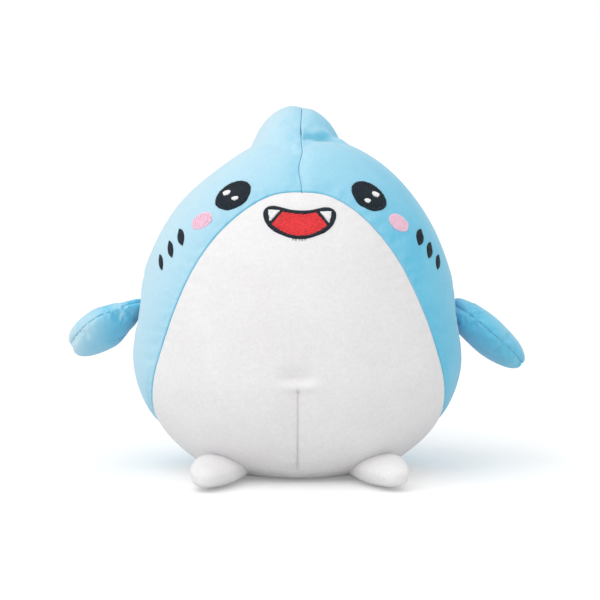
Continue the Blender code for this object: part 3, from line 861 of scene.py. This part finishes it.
def disc(rings, spokes, crowding=1.5):
    """Shares out from a disc's middle, crowded at its edge, and angles round it, as a grid."""
    share = 1.0 - (1.0 - np.linspace(0.0, 1.0, rings + 1)) ** crowding
    angle = np.linspace(0.0, 2 * math.pi, spokes, endpoint=False)
    return np.meshgrid(share, angle, indexing="ij")


def grid_normals(points, inside):
    """Outward normals of a grid that closes on itself along its second axis."""
    along = np.gradient(points, axis=0)
    round_it = np.roll(points, -1, 1) - np.roll(points, 1, 1)
    normal = np.cross(along, round_it)
    normal[0] = normal[1].mean(0)
    normal = normal / np.maximum(np.linalg.norm(normal, axis=-1, keepdims=True), 1e-15)
    return normal * np.sign((normal * (points - inside)).sum())


def doubled(grid):
    """A grid of values made twice as fine, smooth through the given ones. It wraps along its second axis."""
    ends = np.concatenate([2 * grid[:1] - grid[1:2], grid, 2 * grid[-1:] - grid[-2:-1]])
    between = (9 * (ends[1:-2] + ends[2:-1]) - (ends[:-3] + ends[3:])) / 16
    rows = np.empty((2 * len(grid) - 1, *grid.shape[1:]))
    rows[::2], rows[1::2] = grid, between
    after, before = np.roll(rows, -1, 1), np.roll(rows, 1, 1)
    middle = (9 * (rows + after) - (before + np.roll(rows, -2, 1))) / 16
    fine = np.empty((rows.shape[0], 2 * rows.shape[1], *rows.shape[2:]))
    fine[:, ::2], fine[:, 1::2] = rows, middle
    return fine


def panel_settling(form, hold):
    """How two panels sewn edge to edge settle over their filling: an offset grid for each face."""
    share, angle = disc(PANEL_RINGS // 2, PANEL_SPOKES // 2)
    sheets = {sign: form(share, angle, sign) for sign in (-1, 1)}
    rings, spokes = share.shape
    rim = (sheets[1][-1] + sheets[-1][-1]) / 2
    points = [rim]
    places, faces = {}, []
    total = spokes
    for sign, sheet in sheets.items():
        index = np.empty((rings, spokes), int)
        index[-1] = np.arange(spokes)
        index[0] = total
        index[1:-1] = total + 1 + np.arange((rings - 2) * spokes).reshape(rings - 2, spokes)
        total += 1 + (rings - 2) * spokes
        points += [sheet[0, :1], sheet[1:-1].reshape(-1, 3)]
        places[sign] = index
        after = np.roll(index, -1, 1)
        loops = np.stack([index[:-1], after[:-1], after[1:], index[1:]], -1).reshape(-1, 4)
        faces += [tuple(dict.fromkeys(loop)) for loop in loops[:, ::sign].tolist()]
    points = np.concatenate(points)
    held = hold(points)
    held[:spokes] = np.maximum(held[:spokes], RIM_HOLD)
    middle = points.mean(0)
    first = points[list(faces[len(faces) // 4])]
    outward = np.cross(first[1] - first[0], first[2] - first[0]) @ (first[0] - middle)
    faces = faces if outward > 0 else [f[::-1] for f in faces]
    offset = settled(points, faces, held, *PANEL_CLOTH)
    return {sign: doubled(offset[index]) for sign, index in places.items()}


def sewn_sheet(form, sign, seed, settling):
    """One of two panels sewn edge to edge: its rim turns in at the seam, with small gathers beside it."""
    share, angle = disc(PANEL_RINGS, PANEL_SPOKES)
    points = form(share, angle, sign) + settling[sign]
    middle = (points[0, 0] + form(share[:1], angle[:1], -sign)[0, 0]) / 2
    normal = grid_normals(points, middle)
    seam = Seam(np.concatenate([points[-1], points[-1][:1]]), 900)
    distance, near = seam.measure(points)
    wave = ripple(seam.run[near], seed, 4.6 * MM)
    height = roll(distance, PANEL_ROLL) + gathers(PANEL_GATHER, distance, 4.5 * MM, 1.5 * MM, wave)
    height = height + unevenness(points, seed + 1, PANEL_LUMP, 22 * MM)
    raised = points + normal * height[..., None]
    turned = [raised[-1] + unit(middle - points[-1]) * depth for depth in ALLOWANCE]
    return grid_sheet(np.concatenate([raised, np.array(turned)]), middle, True)


def filling_ball(form, segments=48, rings=24, lump=0.4 * MM):
    """Closed ball of filling laid out by a two-panel form."""
    bm = bmesh.new()
    bmesh.ops.create_uvsphere(bm, u_segments=segments, v_segments=rings, radius=1.0)
    place = np.array([v.co for v in bm.verts])
    share = np.minimum(np.hypot(place[:, 0], place[:, 1]), 1.0)
    points = form(share, np.arctan2(place[:, 1], place[:, 0]), np.where(place[:, 2] >= 0, 1.0, -1.0))
    points = points + unit(points - points.mean(0)) * unevenness(points, 17, lump, 12 * MM)[:, None]
    for vert, point in zip(bm.verts, points):
        vert.co = point
    bm.normal_update()
    bmesh.ops.recalc_face_normals(bm, faces=bm.faces)
    return bm


# --- feet ---
FOOT_X = 47.5 * MM
FOOT_Y = CENTRE[1] - 46 * MM
FOOT_Z = 9.5 * MM
FOOT_HALF_WIDTH = 14.3 * MM
FOOT_HALF_HEIGHT = 9.0 * MM
FOOT_SLANT = 0.30
FOOT_SQUARENESS = 0.16
FOOT_LENGTH = 34 * MM
FOOT_TURN = math.radians(20)
FOOT_SEAT_Z = 5 * MM
FOOT_FULLNESS = 2.7
SOLE_FLATNESS = 0.65
FOOT_PINCH = 0.10
SOLE_CLEARANCE = 0.05 * MM
FOOT_SINK = 2.5 * MM
FOOT_MIDDLE = 4 * MM
FOOT_LUMP = 0.25 * MM
SEARCH_REACH = 60 * MM


def back_to_skin(point, along, lift):
    """The places where lines through points, along a direction, come out of the skin raised by the lift."""
    high = np.full(point.shape[:-1], SEARCH_REACH)
    low = -high
    for _ in range(30):
        middle = (low + high) / 2
        probe = point + along * middle[..., None] - CENTRE
        length = np.linalg.norm(probe, axis=-1)
        outside = length > skin_radius(probe / length[..., None]) + lift
        low, high = np.where(outside, low, middle), np.where(outside, middle, high)
    return point + along * high[..., None]


def foot_form(name, inset=0.0):
    """Layout of a stub foot: a dome in front, flattened below, whose rim sinks into the belly."""
    side = SIDES[name]
    out = np.array([math.sin(FOOT_TURN) * side, -math.cos(FOOT_TURN), 0.0])
    across = np.array([math.cos(FOOT_TURN), math.sin(FOOT_TURN) * side, 0.0])
    centre = np.array([FOOT_X * side, FOOT_Y, FOOT_Z])

    def flat(x, y):
        crown = (FOOT_HALF_HEIGHT - inset) * (1.0 + FOOT_SLANT * side * x)
        rise = np.where(y > 0, y * crown, (inset - FOOT_Z) * np.abs(y) ** SOLE_FLATNESS)
        wide = across * (x * (FOOT_HALF_WIDTH - inset))[..., None]
        return centre + wide + np.array([0.0, 0.0, 1.0]) * rise[..., None]

    def form(share, angle):
        x, y = np.cos(angle), np.sin(angle)
        squareness = FOOT_SQUARENESS * np.clip(x * side, 0.0, 1.0) * np.abs(x * y) * 2.0
        x, y = x * (1.0 + squareness), y * (1.0 + squareness * np.where(y > 0, 1.0, 0.0))
        seat = flat(x, y)
        seat[..., 2] = np.maximum(seat[..., 2], FOOT_SEAT_Z)
        back = (back_to_skin(seat, out, -FOOT_SINK) - centre) @ out
        forward = np.sqrt(np.clip(1.0 - share**FOOT_FULLNESS, 0.0, 1.0))
        pinch = 1.0 - FOOT_PINCH * (1.0 - smooth_step(forward, 0.0, 0.45))
        place = flat(x * share * pinch, y * share * np.where(y > 0, pinch, 1.0))
        return place + out * (back + (FOOT_LENGTH - inset - back) * forward)[..., None]

    return form, centre + out * FOOT_MIDDLE


def foot_sheet(name):
    form, middle = foot_form(name)
    share, angle = disc(40, 96, 2.0)
    points = form(share, angle)
    points = points + grid_normals(points, middle) * unevenness(points, 23, FOOT_LUMP, 18 * MM)[..., None]
    points[..., 2] = np.maximum(points[..., 2], SOLE_CLEARANCE)
    return grid_sheet(points, middle, True)


def foot_filling(name):
    form, middle = foot_form(name, 2.0 * MM)
    share, angle = disc(16, 40)
    points = form(share, angle)
    back = points[-1].mean(0)
    closed = np.concatenate([points, [points[-1] + (back - points[-1]) * s for s in (0.5, 1.0)]])
    return grid_sheet(closed, middle, True)


# --- sewing the pieces together ---
FILLING_SIZE = 0.84
FILLING_DEPTH = 6 * MM
FILLING_CLEARANCE_WAY = 0.07
FILLING_PROBES = 8


def cover(stem, sheet, material, body, solid="panel"):
    """A fabric cover, which stands for the solid with the same stem in its name."""
    thicken(sheet, FABRIC)
    stuffed(f"{stem}_fabric", sheet, material, body, f"{stem}_{solid}")


def filled(stem, bm, body):
    stuffed(f"{stem}_filling", bm, FILLING, body, f"{stem}_stuffing")


def outer_tree(sheets):
    """Search tree over the outer faces of several sheets."""
    verts, faces = [], []
    for bm in sheets:
        start = len(verts)
        bm.verts.index_update()
        verts.extend(v.co.copy() for v in bm.verts)
        faces.extend([start + v.index for v in f.verts] for f in bm.faces)
    return BVHTree.FromPolygons(verts, faces)


def body_filling_form(share, angle, sign):
    """Filling that keeps below the lowest skin nearby, so that it stays inside the steep dorsal fin."""
    rise = sign * np.sqrt(np.clip(1.0 - share**2, 0.0, 1.0))
    way = np.stack([share * np.cos(angle), share * np.sin(angle), rise], -1)
    across, up = tangents(way)
    radius = skin_radius(way)
    for turn in np.arange(FILLING_PROBES) * (2 * math.pi / FILLING_PROBES):
        aside = across * math.cos(turn) + up * math.sin(turn)
        radius = np.minimum(radius, skin_radius(unit(way + aside * FILLING_CLEARANCE_WAY)))
    return CENTRE + way * (radius - FILLING_DEPTH)[..., None]


def sew_limb(name, forms, material, root, out, bend, held, panels):
    """A fin or tail of two panels round a filling. Along its way out its cloth is held by the body over one
    stretch; the bend stretch is passed on with its pieces, but nothing bends them."""
    joined = ("body", name, tuple(root + out * bend[0]), tuple(root + out * bend[1]))
    settling = panel_settling(forms[0], lambda points: 1.0 - smooth_step((points - root) @ out, *held))
    for part, sign, seed in panels:
        cover(f"{name}_{part}", sewn_sheet(forms[0], sign, seed, settling), material, joined)
    filled(name, filling_ball(forms[1]), joined)


# along a limb's way out from its root: where it would bend with its joint, which nothing uses, and where the
# body holds its cloth
FIN_BEND = (1 * MM, 17 * MM)
FIN_HELD = (-1 * MM, 5 * MM)
TAIL_BEND = (0.0, 18 * MM)
TAIL_HELD = (0.0, 6 * MM)
BODY_SHEETS = {"left_side": side_sheet(-1), "right_side": side_sheet(1), "belly": belly_sheet()}
FABRIC_TREE = outer_tree(BODY_SHEETS.values())
for stem, material in (("belly", WHITE), ("left_side", BLUE), ("right_side", BLUE)):
    cover(stem, BODY_SHEETS[stem], material, "body")
filled("body", filling_ball(body_filling_form, 64, 40, 1.2 * MM), "body")

for name, side in SIDES.items():
    root, out, _, _ = fin_axes(name)
    forms = (fin_form(name), fin_form(name, FILLING_SIZE))
    panels = (("upper", 1, 30 + 10 * side), ("lower", -1, 31 + 10 * side))
    sew_limb(f"{name}_fin", forms, FIN_LIT_AND_SHADED_BLUES[name], root, out, FIN_BEND, FIN_HELD, panels)
    cover(f"{name}_foot", foot_sheet(name), WHITE, "body", "cover")
    filled(f"{name}_foot", foot_filling(name), "body")

TAIL_OUT = np.array([0.0, 1.0, 0.0])
TAIL_ROOT = np.array(JOINTS["tail_wag"]["pos_m"]) - TAIL_OUT * (12 * MM)
TAIL_FORMS = (tail_form(), tail_form(FILLING_SIZE))
TAIL_PANELS = (("left", -1, 59), ("right", 1, 61))
sew_limb("tail", TAIL_FORMS, BLUE, TAIL_ROOT, TAIL_OUT, TAIL_BEND, TAIL_HELD, TAIL_PANELS)


# --- embroidery ---
STITCH_PITCH = 0.52 * MM
STITCH_RADIUS = 0.30 * MM
STITCH_HEIGHT = 0.42 * MM
STITCH_ARCH = 0.35
STITCH_SIDES = 6
STITCH_STEP = 0.9 * MM
STITCH_SINK = 0.30 * MM
FILL_STITCH = 4.2 * MM
# the shares of a patch's size that its pad starts and ends at, and how far it sinks at its rim and inside
PAD_REACH = (0.02, 0.97)
PAD_RIM_SINK = 0.25 * MM
PAD_SINK = 0.6 * MM
# how many times the plies cross a thread in each millimetre of it
PLY_TURNS = 1.1


class Patch:
    """Flat (across, up) coordinates about a spot on the body, turned by a tilt and laid on the fabric."""

    def __init__(self, spot, tilt=0.0):
        way = direction(np.float64(spot[0]), np.float64(spot[1]))
        self.middle = skin(way)
        normal = skin_normal(way)
        azimuth = math.radians(spot[0])
        level = np.array([math.cos(azimuth), math.sin(azimuth), 0.0])
        level = unit(level - normal * (level @ normal))
        up = np.cross(normal, level)
        self.across, self.up = rotated(level, up if up[2] > 0 else -up, tilt)

    def place(self, flat, lift):
        """Points on the fabric under flat coordinates, raised off it by the lift, and the fabric's normals
        there.
        """
        flat = np.asarray(flat, float)
        way = unit(self.middle + flat[:, :1] * self.across + flat[:, 1:] * self.up - CENTRE)
        normal = skin_normal(way)
        points = np.array([FABRIC_TREE.ray_cast(Vector(CENTRE), Vector(w))[0] for w in way])
        return points + normal * np.broadcast_to(lift, (len(flat),))[:, None], normal


class Stitches:
    """Gathers thread tubes and the padding under them into one mesh."""

    def __init__(self, patch, base=0.0):
        self.patch = patch
        self.base = base
        self.verts, self.faces, self.turns = [], [], []

    def close_rings(self, first, count):
        """Faces between the rings of points laid since the first one, count to a ring, and over both ends."""
        last = len(self.verts) - count
        for ring in range(first, last, count):
            for k in range(count):
                after = (k + 1) % count
                self.faces.append((ring + k, ring + after, ring + count + after, ring + count + k))
        self.faces.append(tuple(first + k for k in reversed(range(count))))
        self.faces.append(tuple(last + k for k in range(count)))

    def thread(self, start, end, height=STITCH_HEIGHT, radius=STITCH_RADIUS):
        """One stitch: a thread that comes up through the fabric, arches over and goes down again."""
        start, end = np.asarray(start, float), np.asarray(end, float)
        length = np.linalg.norm(end - start)
        count = max(4, int(math.ceil(length / STITCH_STEP)) + 1)
        t = np.linspace(0.0, 1.0, count)
        lift = self.base - STITCH_SINK + (height + STITCH_SINK) * np.sin(math.pi * t) ** STITCH_ARCH
        points, normal = self.patch.place(start + (end - start) * t[:, None], lift)
        tangent = unit(np.gradient(points, axis=0))
        side = unit(np.cross(tangent, normal))
        upward = np.cross(side, tangent)
        first = len(self.verts)
        for i in range(count):
            for k in range(STITCH_SIDES):
                a = 2 * math.pi * k / STITCH_SIDES
                self.verts.append(points[i] + radius * (side[i] * math.cos(a) + upward[i] * math.sin(a)))
                self.turns.append((t[i] * length / MM * PLY_TURNS, k / STITCH_SIDES * 2.0))
        self.close_rings(first, STITCH_SIDES)

    def padding(self, outline, height, rings):
        """Closed crowned pad under the stitches of a patch with this outline."""
        outline = np.asarray(outline, float)
        middle = outline.mean(0)
        shares = np.linspace(*PAD_REACH, rings)
        top = [(share, height * (1.0 - share**4) - PAD_RIM_SINK * share**4) for share in shares]
        first = len(self.verts)
        for share, lift in top + [(share, -PAD_SINK) for share in PAD_REACH[::-1]]:
            points, _ = self.patch.place(middle + (outline - middle) * share, self.base + lift)
            self.verts.extend(points)
            self.turns.extend([(0.0, 0.0)] * len(outline))
        self.close_rings(first, len(outline))

    def rows(self, outline, angle, pitch=STITCH_PITCH, longest=FILL_STITCH, overshoot=0.0, seed=3):
        """Fills an outline with parallel rows of stitches, broken like bricks where a row is long."""
        rng = np.random.default_rng(seed)
        along, over = rotated(*np.eye(2), angle)
        x, y = outline @ along, outline @ over
        x_next, y_next = np.roll(x, -1), np.roll(y, -1)
        for row, level in enumerate(np.arange(y.min() + pitch / 2, y.max(), pitch)):
            crosses = (y - level) * (y_next - level) < 0
            cuts = np.sort((x + (x_next - x) * (level - y) / np.where(y_next == y, 1.0, y_next - y))[crosses])
            for low, high in zip(cuts[::2], cuts[1::2]):
                low = low - overshoot * rng.uniform(0.3, 1.0)
                high = high + overshoot * rng.uniform(0.3, 1.0)
                inner = []
                if high - low > 1.4 * longest:
                    inner = np.arange((math.floor(low / longest) + row % 3 / 3) * longest, high, longest)
                marks = [low, *(m for m in inner if min(m - low, high - m) > 0.25 * longest), high]
                for a, b in zip(marks[:-1], marks[1:]):
                    self.thread(along * a + over * level, along * b + over * level)

    def along_path(self, path, normals, width, pitch, seed):
        """Satin stitches side by side across a path, of one width or one for each of the path's points."""
        rng = np.random.default_rng(seed)
        widths = np.broadcast_to(width, len(path))
        steps = lengths_along(path)
        for place in np.arange(pitch / 2, steps[-1], pitch):
            middle = np.array([np.interp(place, steps, path[:, k]) for k in (0, 1)])
            normal = unit(np.array([np.interp(place, steps, normals[:, k]) for k in (0, 1)]))
            half = np.interp(place, steps, widths) / 2 * rng.uniform(0.93, 1.07)
            self.thread(middle - normal * half, middle + normal * half)

    def made(self, stem, slot):
        """The patch's piece, which stands for the solid that its name starts with."""
        mesh = bpy.data.meshes.new(f"{stem}_stitches")
        mesh.from_pydata([tuple(v) for v in self.verts], [], self.faces)
        layer = mesh.uv_layers.new(name="turns")
        corner = np.zeros(len(mesh.loops), np.int32)
        mesh.loops.foreach_get("vertex_index", corner)
        layer.data.foreach_set("uv", np.array(self.turns, np.float32)[corner].ravel())
        obj = shown(f"{stem}_stitches", mesh, THREADS[slot])
        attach(obj, "body")
        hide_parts(stem)


EYE_SPOTS = {"left": (-42.2, 60.4), "right": (44.1, 59.5)}
EYE_HALF = (11.9 * MM, 9.7 * MM)
EYE_TILT = 46.0
# across, up, half width and half height of each glint, in millimetres from the eye's spot
EYE_GLINTS = {
    "left": {"large": (-4.2, 0.1, 2.5, 2.0), "small": (3.1, -2.4, 2.2, 1.4)},
    "right": {"large": (4.1, -0.5, 2.5, 2.0), "small": (-3.5, -3.3, 2.0, 1.5)},
}
GLINT_TILT = 32.0
GLINT_LIFT = 0.5 * MM
BLUSH_SPOTS = {"left": (-53.3, 50.5), "right": (54.6, 49.6)}
BLUSH_HALF = (7.5 * MM, 5.5 * MM)
BLUSH_TILT = 32.0
GILL_SPOTS = {
    "left": [(-62.1, 44.1), (-65.8, 39.6), (-69.4, 34.8)],
    "right": [(64.5, 43.5), (67.8, 38.8), (71.2, 34.4)],
}
GILL_HALVES = {
    "left": [(2.9, 6.6), (2.6, 6.4), (2.3, 6.0)],
    "right": [(3.4, 6.4), (3.0, 6.3), (2.7, 5.6)],
}
GILL_TILT = 45.0
MOUTH_SPOT = (0.0, 53.9)
MOUTH_TILT = -1.5
MOUTH_LINE = 2.8 * MM
MOUTH_LINE_BELOW = 2.1 * MM
# the right half of the outline's middle line from its top to its bottom, and what it encloses, in millimetres
MOUTH_LOOP = [
    (0.0, 6.9), (5.3, 7.4), (9.6, 8.7), (13.5, 10.3), (17.0, 11.4), (19.4, 11.1), (20.6, 9.3),
    (20.4, 6.2), (19.0, 2.2), (16.4, -1.5), (13.0, -4.4), (8.5, -6.9), (4.2, -8.35), (0.0, -8.75),
]
RED_SIDE = [(9.6, 8.0), (16.9, -0.5)]
TOOTH = [(11.4, 9.0), (19.0, 10.6), (17.9, 1.6)]
TOOTH_LINE = [(10.4, 8.3), (17.1, 0.4)]
TOOTH_LINE_WIDTH = 2.0 * MM
# loose thread ends below the mouth: how far across and how long each is, and the height they start from
STRAY_THREADS = ((-3.4, 1.1), (-1.8, 1.5), (0.2, 1.2), (1.5, 1.6), (3.2, 1.0))
STRAY_START = -9.5


# the pads' size as a share of their patch's, their height and their number of rings
EYE_PAD = (0.97, 0.30 * MM, 6)
GLINT_PAD = (1.0, 0.2 * MM, 4)
BLUSH_PAD = (0.95, 0.25 * MM, 6)
GILL_PAD = (0.9, 0.25 * MM, 4)
MOUTH_PAD = (1.0, 0.30 * MM, 6)
TOOTH_PAD = (1.0, 0.2 * MM, 4)
# the teeth, the lines beside them and the lips are raised by this much, as they cross other stitches
TOOTH_LIFT = 0.05 * MM
TOOTH_LINE_LIFT = 0.25 * MM
LIP_LIFT = 0.2 * MM
MOUTH_ROWS = {"pitch": 0.56 * MM, "longest": 5.0 * MM, "overshoot": 1.2 * MM, "seed": 21}


def oval(half, centre=(0.0, 0.0), tilt=0.0, count=48):
    angle = np.linspace(0.0, 2 * math.pi, count, endpoint=False)[:, None]
    across, up = rotated(*np.eye(2), tilt)
    return centre + half[0] * np.cos(angle) * across + half[1] * np.sin(angle) * up


def spindle(half, count=12):
    """Outline of a slit that tapers to both ends."""
    y = np.linspace(-1.0, 1.0, count)
    right = np.stack([half[0] * (1.0 - np.abs(y) ** 2.4), half[1] * y], -1)
    return np.concatenate([right, (right * [-1.0, 1.0])[-2:0:-1]])


def fill_patch(stem, slot, patch, outline, pad, base=0.0, angle=90.0, **rows):
    """A patch filled with rows of stitches over a pad, whose size, height and number of rings are given."""
    size, height, rings = pad
    stitches = Stitches(patch, base)
    stitches.padding(outline * size, height, rings)
    stitches.rows(outline, angle, **rows)
    stitches.made(stem, slot)


def embroider_eye(name):
    side, spot = SIDES[name], EYE_SPOTS[name]
    patch = Patch(spot, -EYE_TILT * side)
    fill_patch(f"{name}_eye", "black_thread", patch, oval(EYE_HALF), EYE_PAD, seed=11)
    for size, (across, up, half_width, half_height) in EYE_GLINTS[name].items():
        outline = oval((half_width * MM, half_height * MM), (across * MM, up * MM), -GLINT_TILT * side, 24)
        stem, rows = f"{name}_eye_glint_{size}", {"pitch": 0.45 * MM, "seed": 12}
        fill_patch(stem, "white_thread", Patch(spot), outline, GLINT_PAD, GLINT_LIFT, **rows)


def embroider_cheek(name):
    side = SIDES[name]
    outline = oval(BLUSH_HALF, tilt=-BLUSH_TILT * side)
    fill_patch(f"{name}_blush", "pink_thread", Patch(BLUSH_SPOTS[name]), outline, BLUSH_PAD, seed=13)
    for i, (spot, half) in enumerate(zip(GILL_SPOTS[name], GILL_HALVES[name])):
        patch, outline = Patch(spot, -GILL_TILT * side), spindle(np.array(half) * MM)
        fill_patch(f"{name}_gill_{i + 1}", "black_thread", patch, outline, GILL_PAD, angle=0.0, seed=14 + i)


def mouth_path(count=240):
    """Middle line of the mouth's outline, once round, and its outward normals."""
    half = np.array(MOUTH_LOOP) * MM
    loop = np.concatenate([half, (half * [-1.0, 1.0])[-2:0:-1]])
    closed = np.concatenate([loop[-3:], loop, loop[:4]])
    line = smooth_line(closed, count * 2)
    start = np.argmin(np.linalg.norm(line[: count // 2] - loop[0], axis=1))
    rest = line[start:]
    back = count // 2 + np.argmin(np.linalg.norm(rest[count // 2 :] - loop[0], axis=1))
    path = spaced(rest[: back + 1], count)
    slope = unit(np.gradient(path, axis=0))
    return path, np.stack([slope[:, 1], -slope[:, 0]], -1)


def embroider_mouth():
    patch = Patch(MOUTH_SPOT, MOUTH_TILT)
    path, normals = mouth_path()
    low = path[path[:, 1] < RED_SIDE[1][1] * MM]
    top = path[(path[:, 1] > 3.0 * MM) & (np.abs(path[:, 0]) < RED_SIDE[0][0] * MM)]
    low = low[np.argsort(low[:, 0])]
    top = top[np.argsort(-top[:, 0])]
    outline = np.concatenate([low, top])
    fill_patch("mouth_red", "red_thread", patch, outline, MOUTH_PAD, angle=0.0, **MOUTH_ROWS)
    for name, side in SIDES.items():
        corners = np.array(TOOTH) * MM * [side, 1.0]
        edges = list(zip(corners, np.roll(corners, -1, 0)))
        outline = np.array([start + (end - start) * t for start, end in edges for t in (0.0, 0.33, 0.66)])
        rows = {"pitch": 0.48 * MM, "seed": 22}
        fill_patch(f"{name}_tooth", "white_thread", patch, outline, TOOTH_PAD, TOOTH_LIFT, **rows)
        ends = np.array(TOOTH_LINE) * MM * [side, 1.0]
        slope = unit(ends[1] - ends[0])
        normal = np.array([slope[1], -slope[0]])
        line = Stitches(patch, TOOTH_LINE_LIFT)
        line.along_path(ends, np.array([normal, normal]), TOOTH_LINE_WIDTH, 0.45 * MM, 23)
        line.made(f"{name}_tooth_line", "black_thread")
    lips = Stitches(patch, LIP_LIFT)
    width = MOUTH_LINE + (MOUTH_LINE_BELOW - MOUTH_LINE) * smooth_step(-path[:, 1], 3 * MM, 7 * MM)
    lips.along_path(path, normals, width, 0.47 * MM, 24)
    for across, reach in STRAY_THREADS:
        start = np.array([across, STRAY_START]) * MM
        lips.thread(start, start + np.array([0.35 * across / 3, -1.0]) * reach * MM, 0.3 * MM, 0.2 * MM)
    lips.made("mouth_outline", "black_thread")


for name in SIDES:
    embroider_eye(name)
    embroider_cheek(name)
embroider_mouth()


# --- floor, light and camera ---
AMBIENT = 0.60
AMBIENT_COLOUR = (1.0, 0.99, 0.98)
FLOOR_REACH = 60
FLOOR_TONE = 0.82
FLOOR_GLOW = 0.24
PURE_WHITE = (1.0, 1.0, 1.0)
# name, where the light comes from, its apparent width in degrees and its strength
LAMPS = (
    ("key", (-1.3, -0.9, 1.7), 60.0, 0.92),
    ("front", (0.6, -1.6, 0.6), 80.0, 0.42),
    ("top", (0.2, 0.0, 2.0), 90.0, 0.66),
    ("left", (-1.8, -0.7, 0.15), 60.0, 0.24),
)
LENS = 145.08
VIEW_DISTANCE = 1.5
VIEW_AZIMUTH = math.radians(-1.2)
VIEW_ELEVATION = math.radians(6.5)
VIEW_TARGET = (1.6 * MM, CENTRE[1], 107 * MM)


def pale_floor():
    """A floor that the camera sees a little brighter than it is lit, so that it fades into the backdrop."""
    mesh = bpy.data.meshes.new("floor")
    corners = [(x * FLOOR_REACH, y * FLOOR_REACH, 0) for x, y in ((-1, -1), (1, -1), (1, 1), (-1, 1))]
    mesh.from_pydata(corners, [], [(0, 1, 2, 3)])
    material, shader, add = new_material("pale_floor")
    glow = add("Math", add("LightPath", output="Is Camera Ray"), FLOOR_GLOW, operation="MULTIPLY")
    add.adjust(shader, Base_Color=(FLOOR_TONE,) * 3, Roughness=0.9, Specular_IOR_Level=0.0)
    add.adjust(shader, Emission_Color=PURE_WHITE, Emission_Strength=glow)
    mesh.materials.append(material)
    placed("floor", mesh)


def backdrop():
    """Soft light from all round, in front of which the camera sees plain white."""
    world = bpy.data.worlds.new("studio")
    bpy.context.scene.world = world
    world.use_nodes = True
    add = Nodes(world.node_tree)
    light = add("Background", AMBIENT_COLOUR, AMBIENT)
    plain = add("Background", PURE_WHITE, 1.0)
    mix = add("MixShader", add("LightPath", output="Is Camera Ray"), light, plain)
    add.feed(world.node_tree.nodes["World Output"].inputs["Surface"], mix)


def aimed(name, data, place, target=(0.0, 0.0, 0.0)):
    """A lamp or camera at a place, turned towards a target."""
    obj = placed(name, data)
    obj.location = place
    obj.rotation_euler = (Vector(target) - Vector(place)).to_track_quat("-Z", "Y").to_euler()
    return obj


def lamps():
    for name, place, softness, strength in LAMPS:
        lamp = bpy.data.lights.new(name, "SUN")
        lamp.angle = math.radians(softness)
        lamp.energy = strength
        aimed(name, lamp, place)


def camera():
    data = bpy.data.cameras.new("camera")
    data.lens = LENS
    data.sensor_width = 36.0
    level = math.cos(VIEW_ELEVATION)
    back = Vector((math.sin(VIEW_AZIMUTH) * level, -math.cos(VIEW_AZIMUTH) * level, math.sin(VIEW_ELEVATION)))
    place = Vector(VIEW_TARGET) + back * VIEW_DISTANCE
    bpy.context.scene.camera = aimed("camera", data, place, VIEW_TARGET)


pale_floor()
backdrop()
lamps()
camera()
bpy.context.scene.view_settings.view_transform = "Standard"
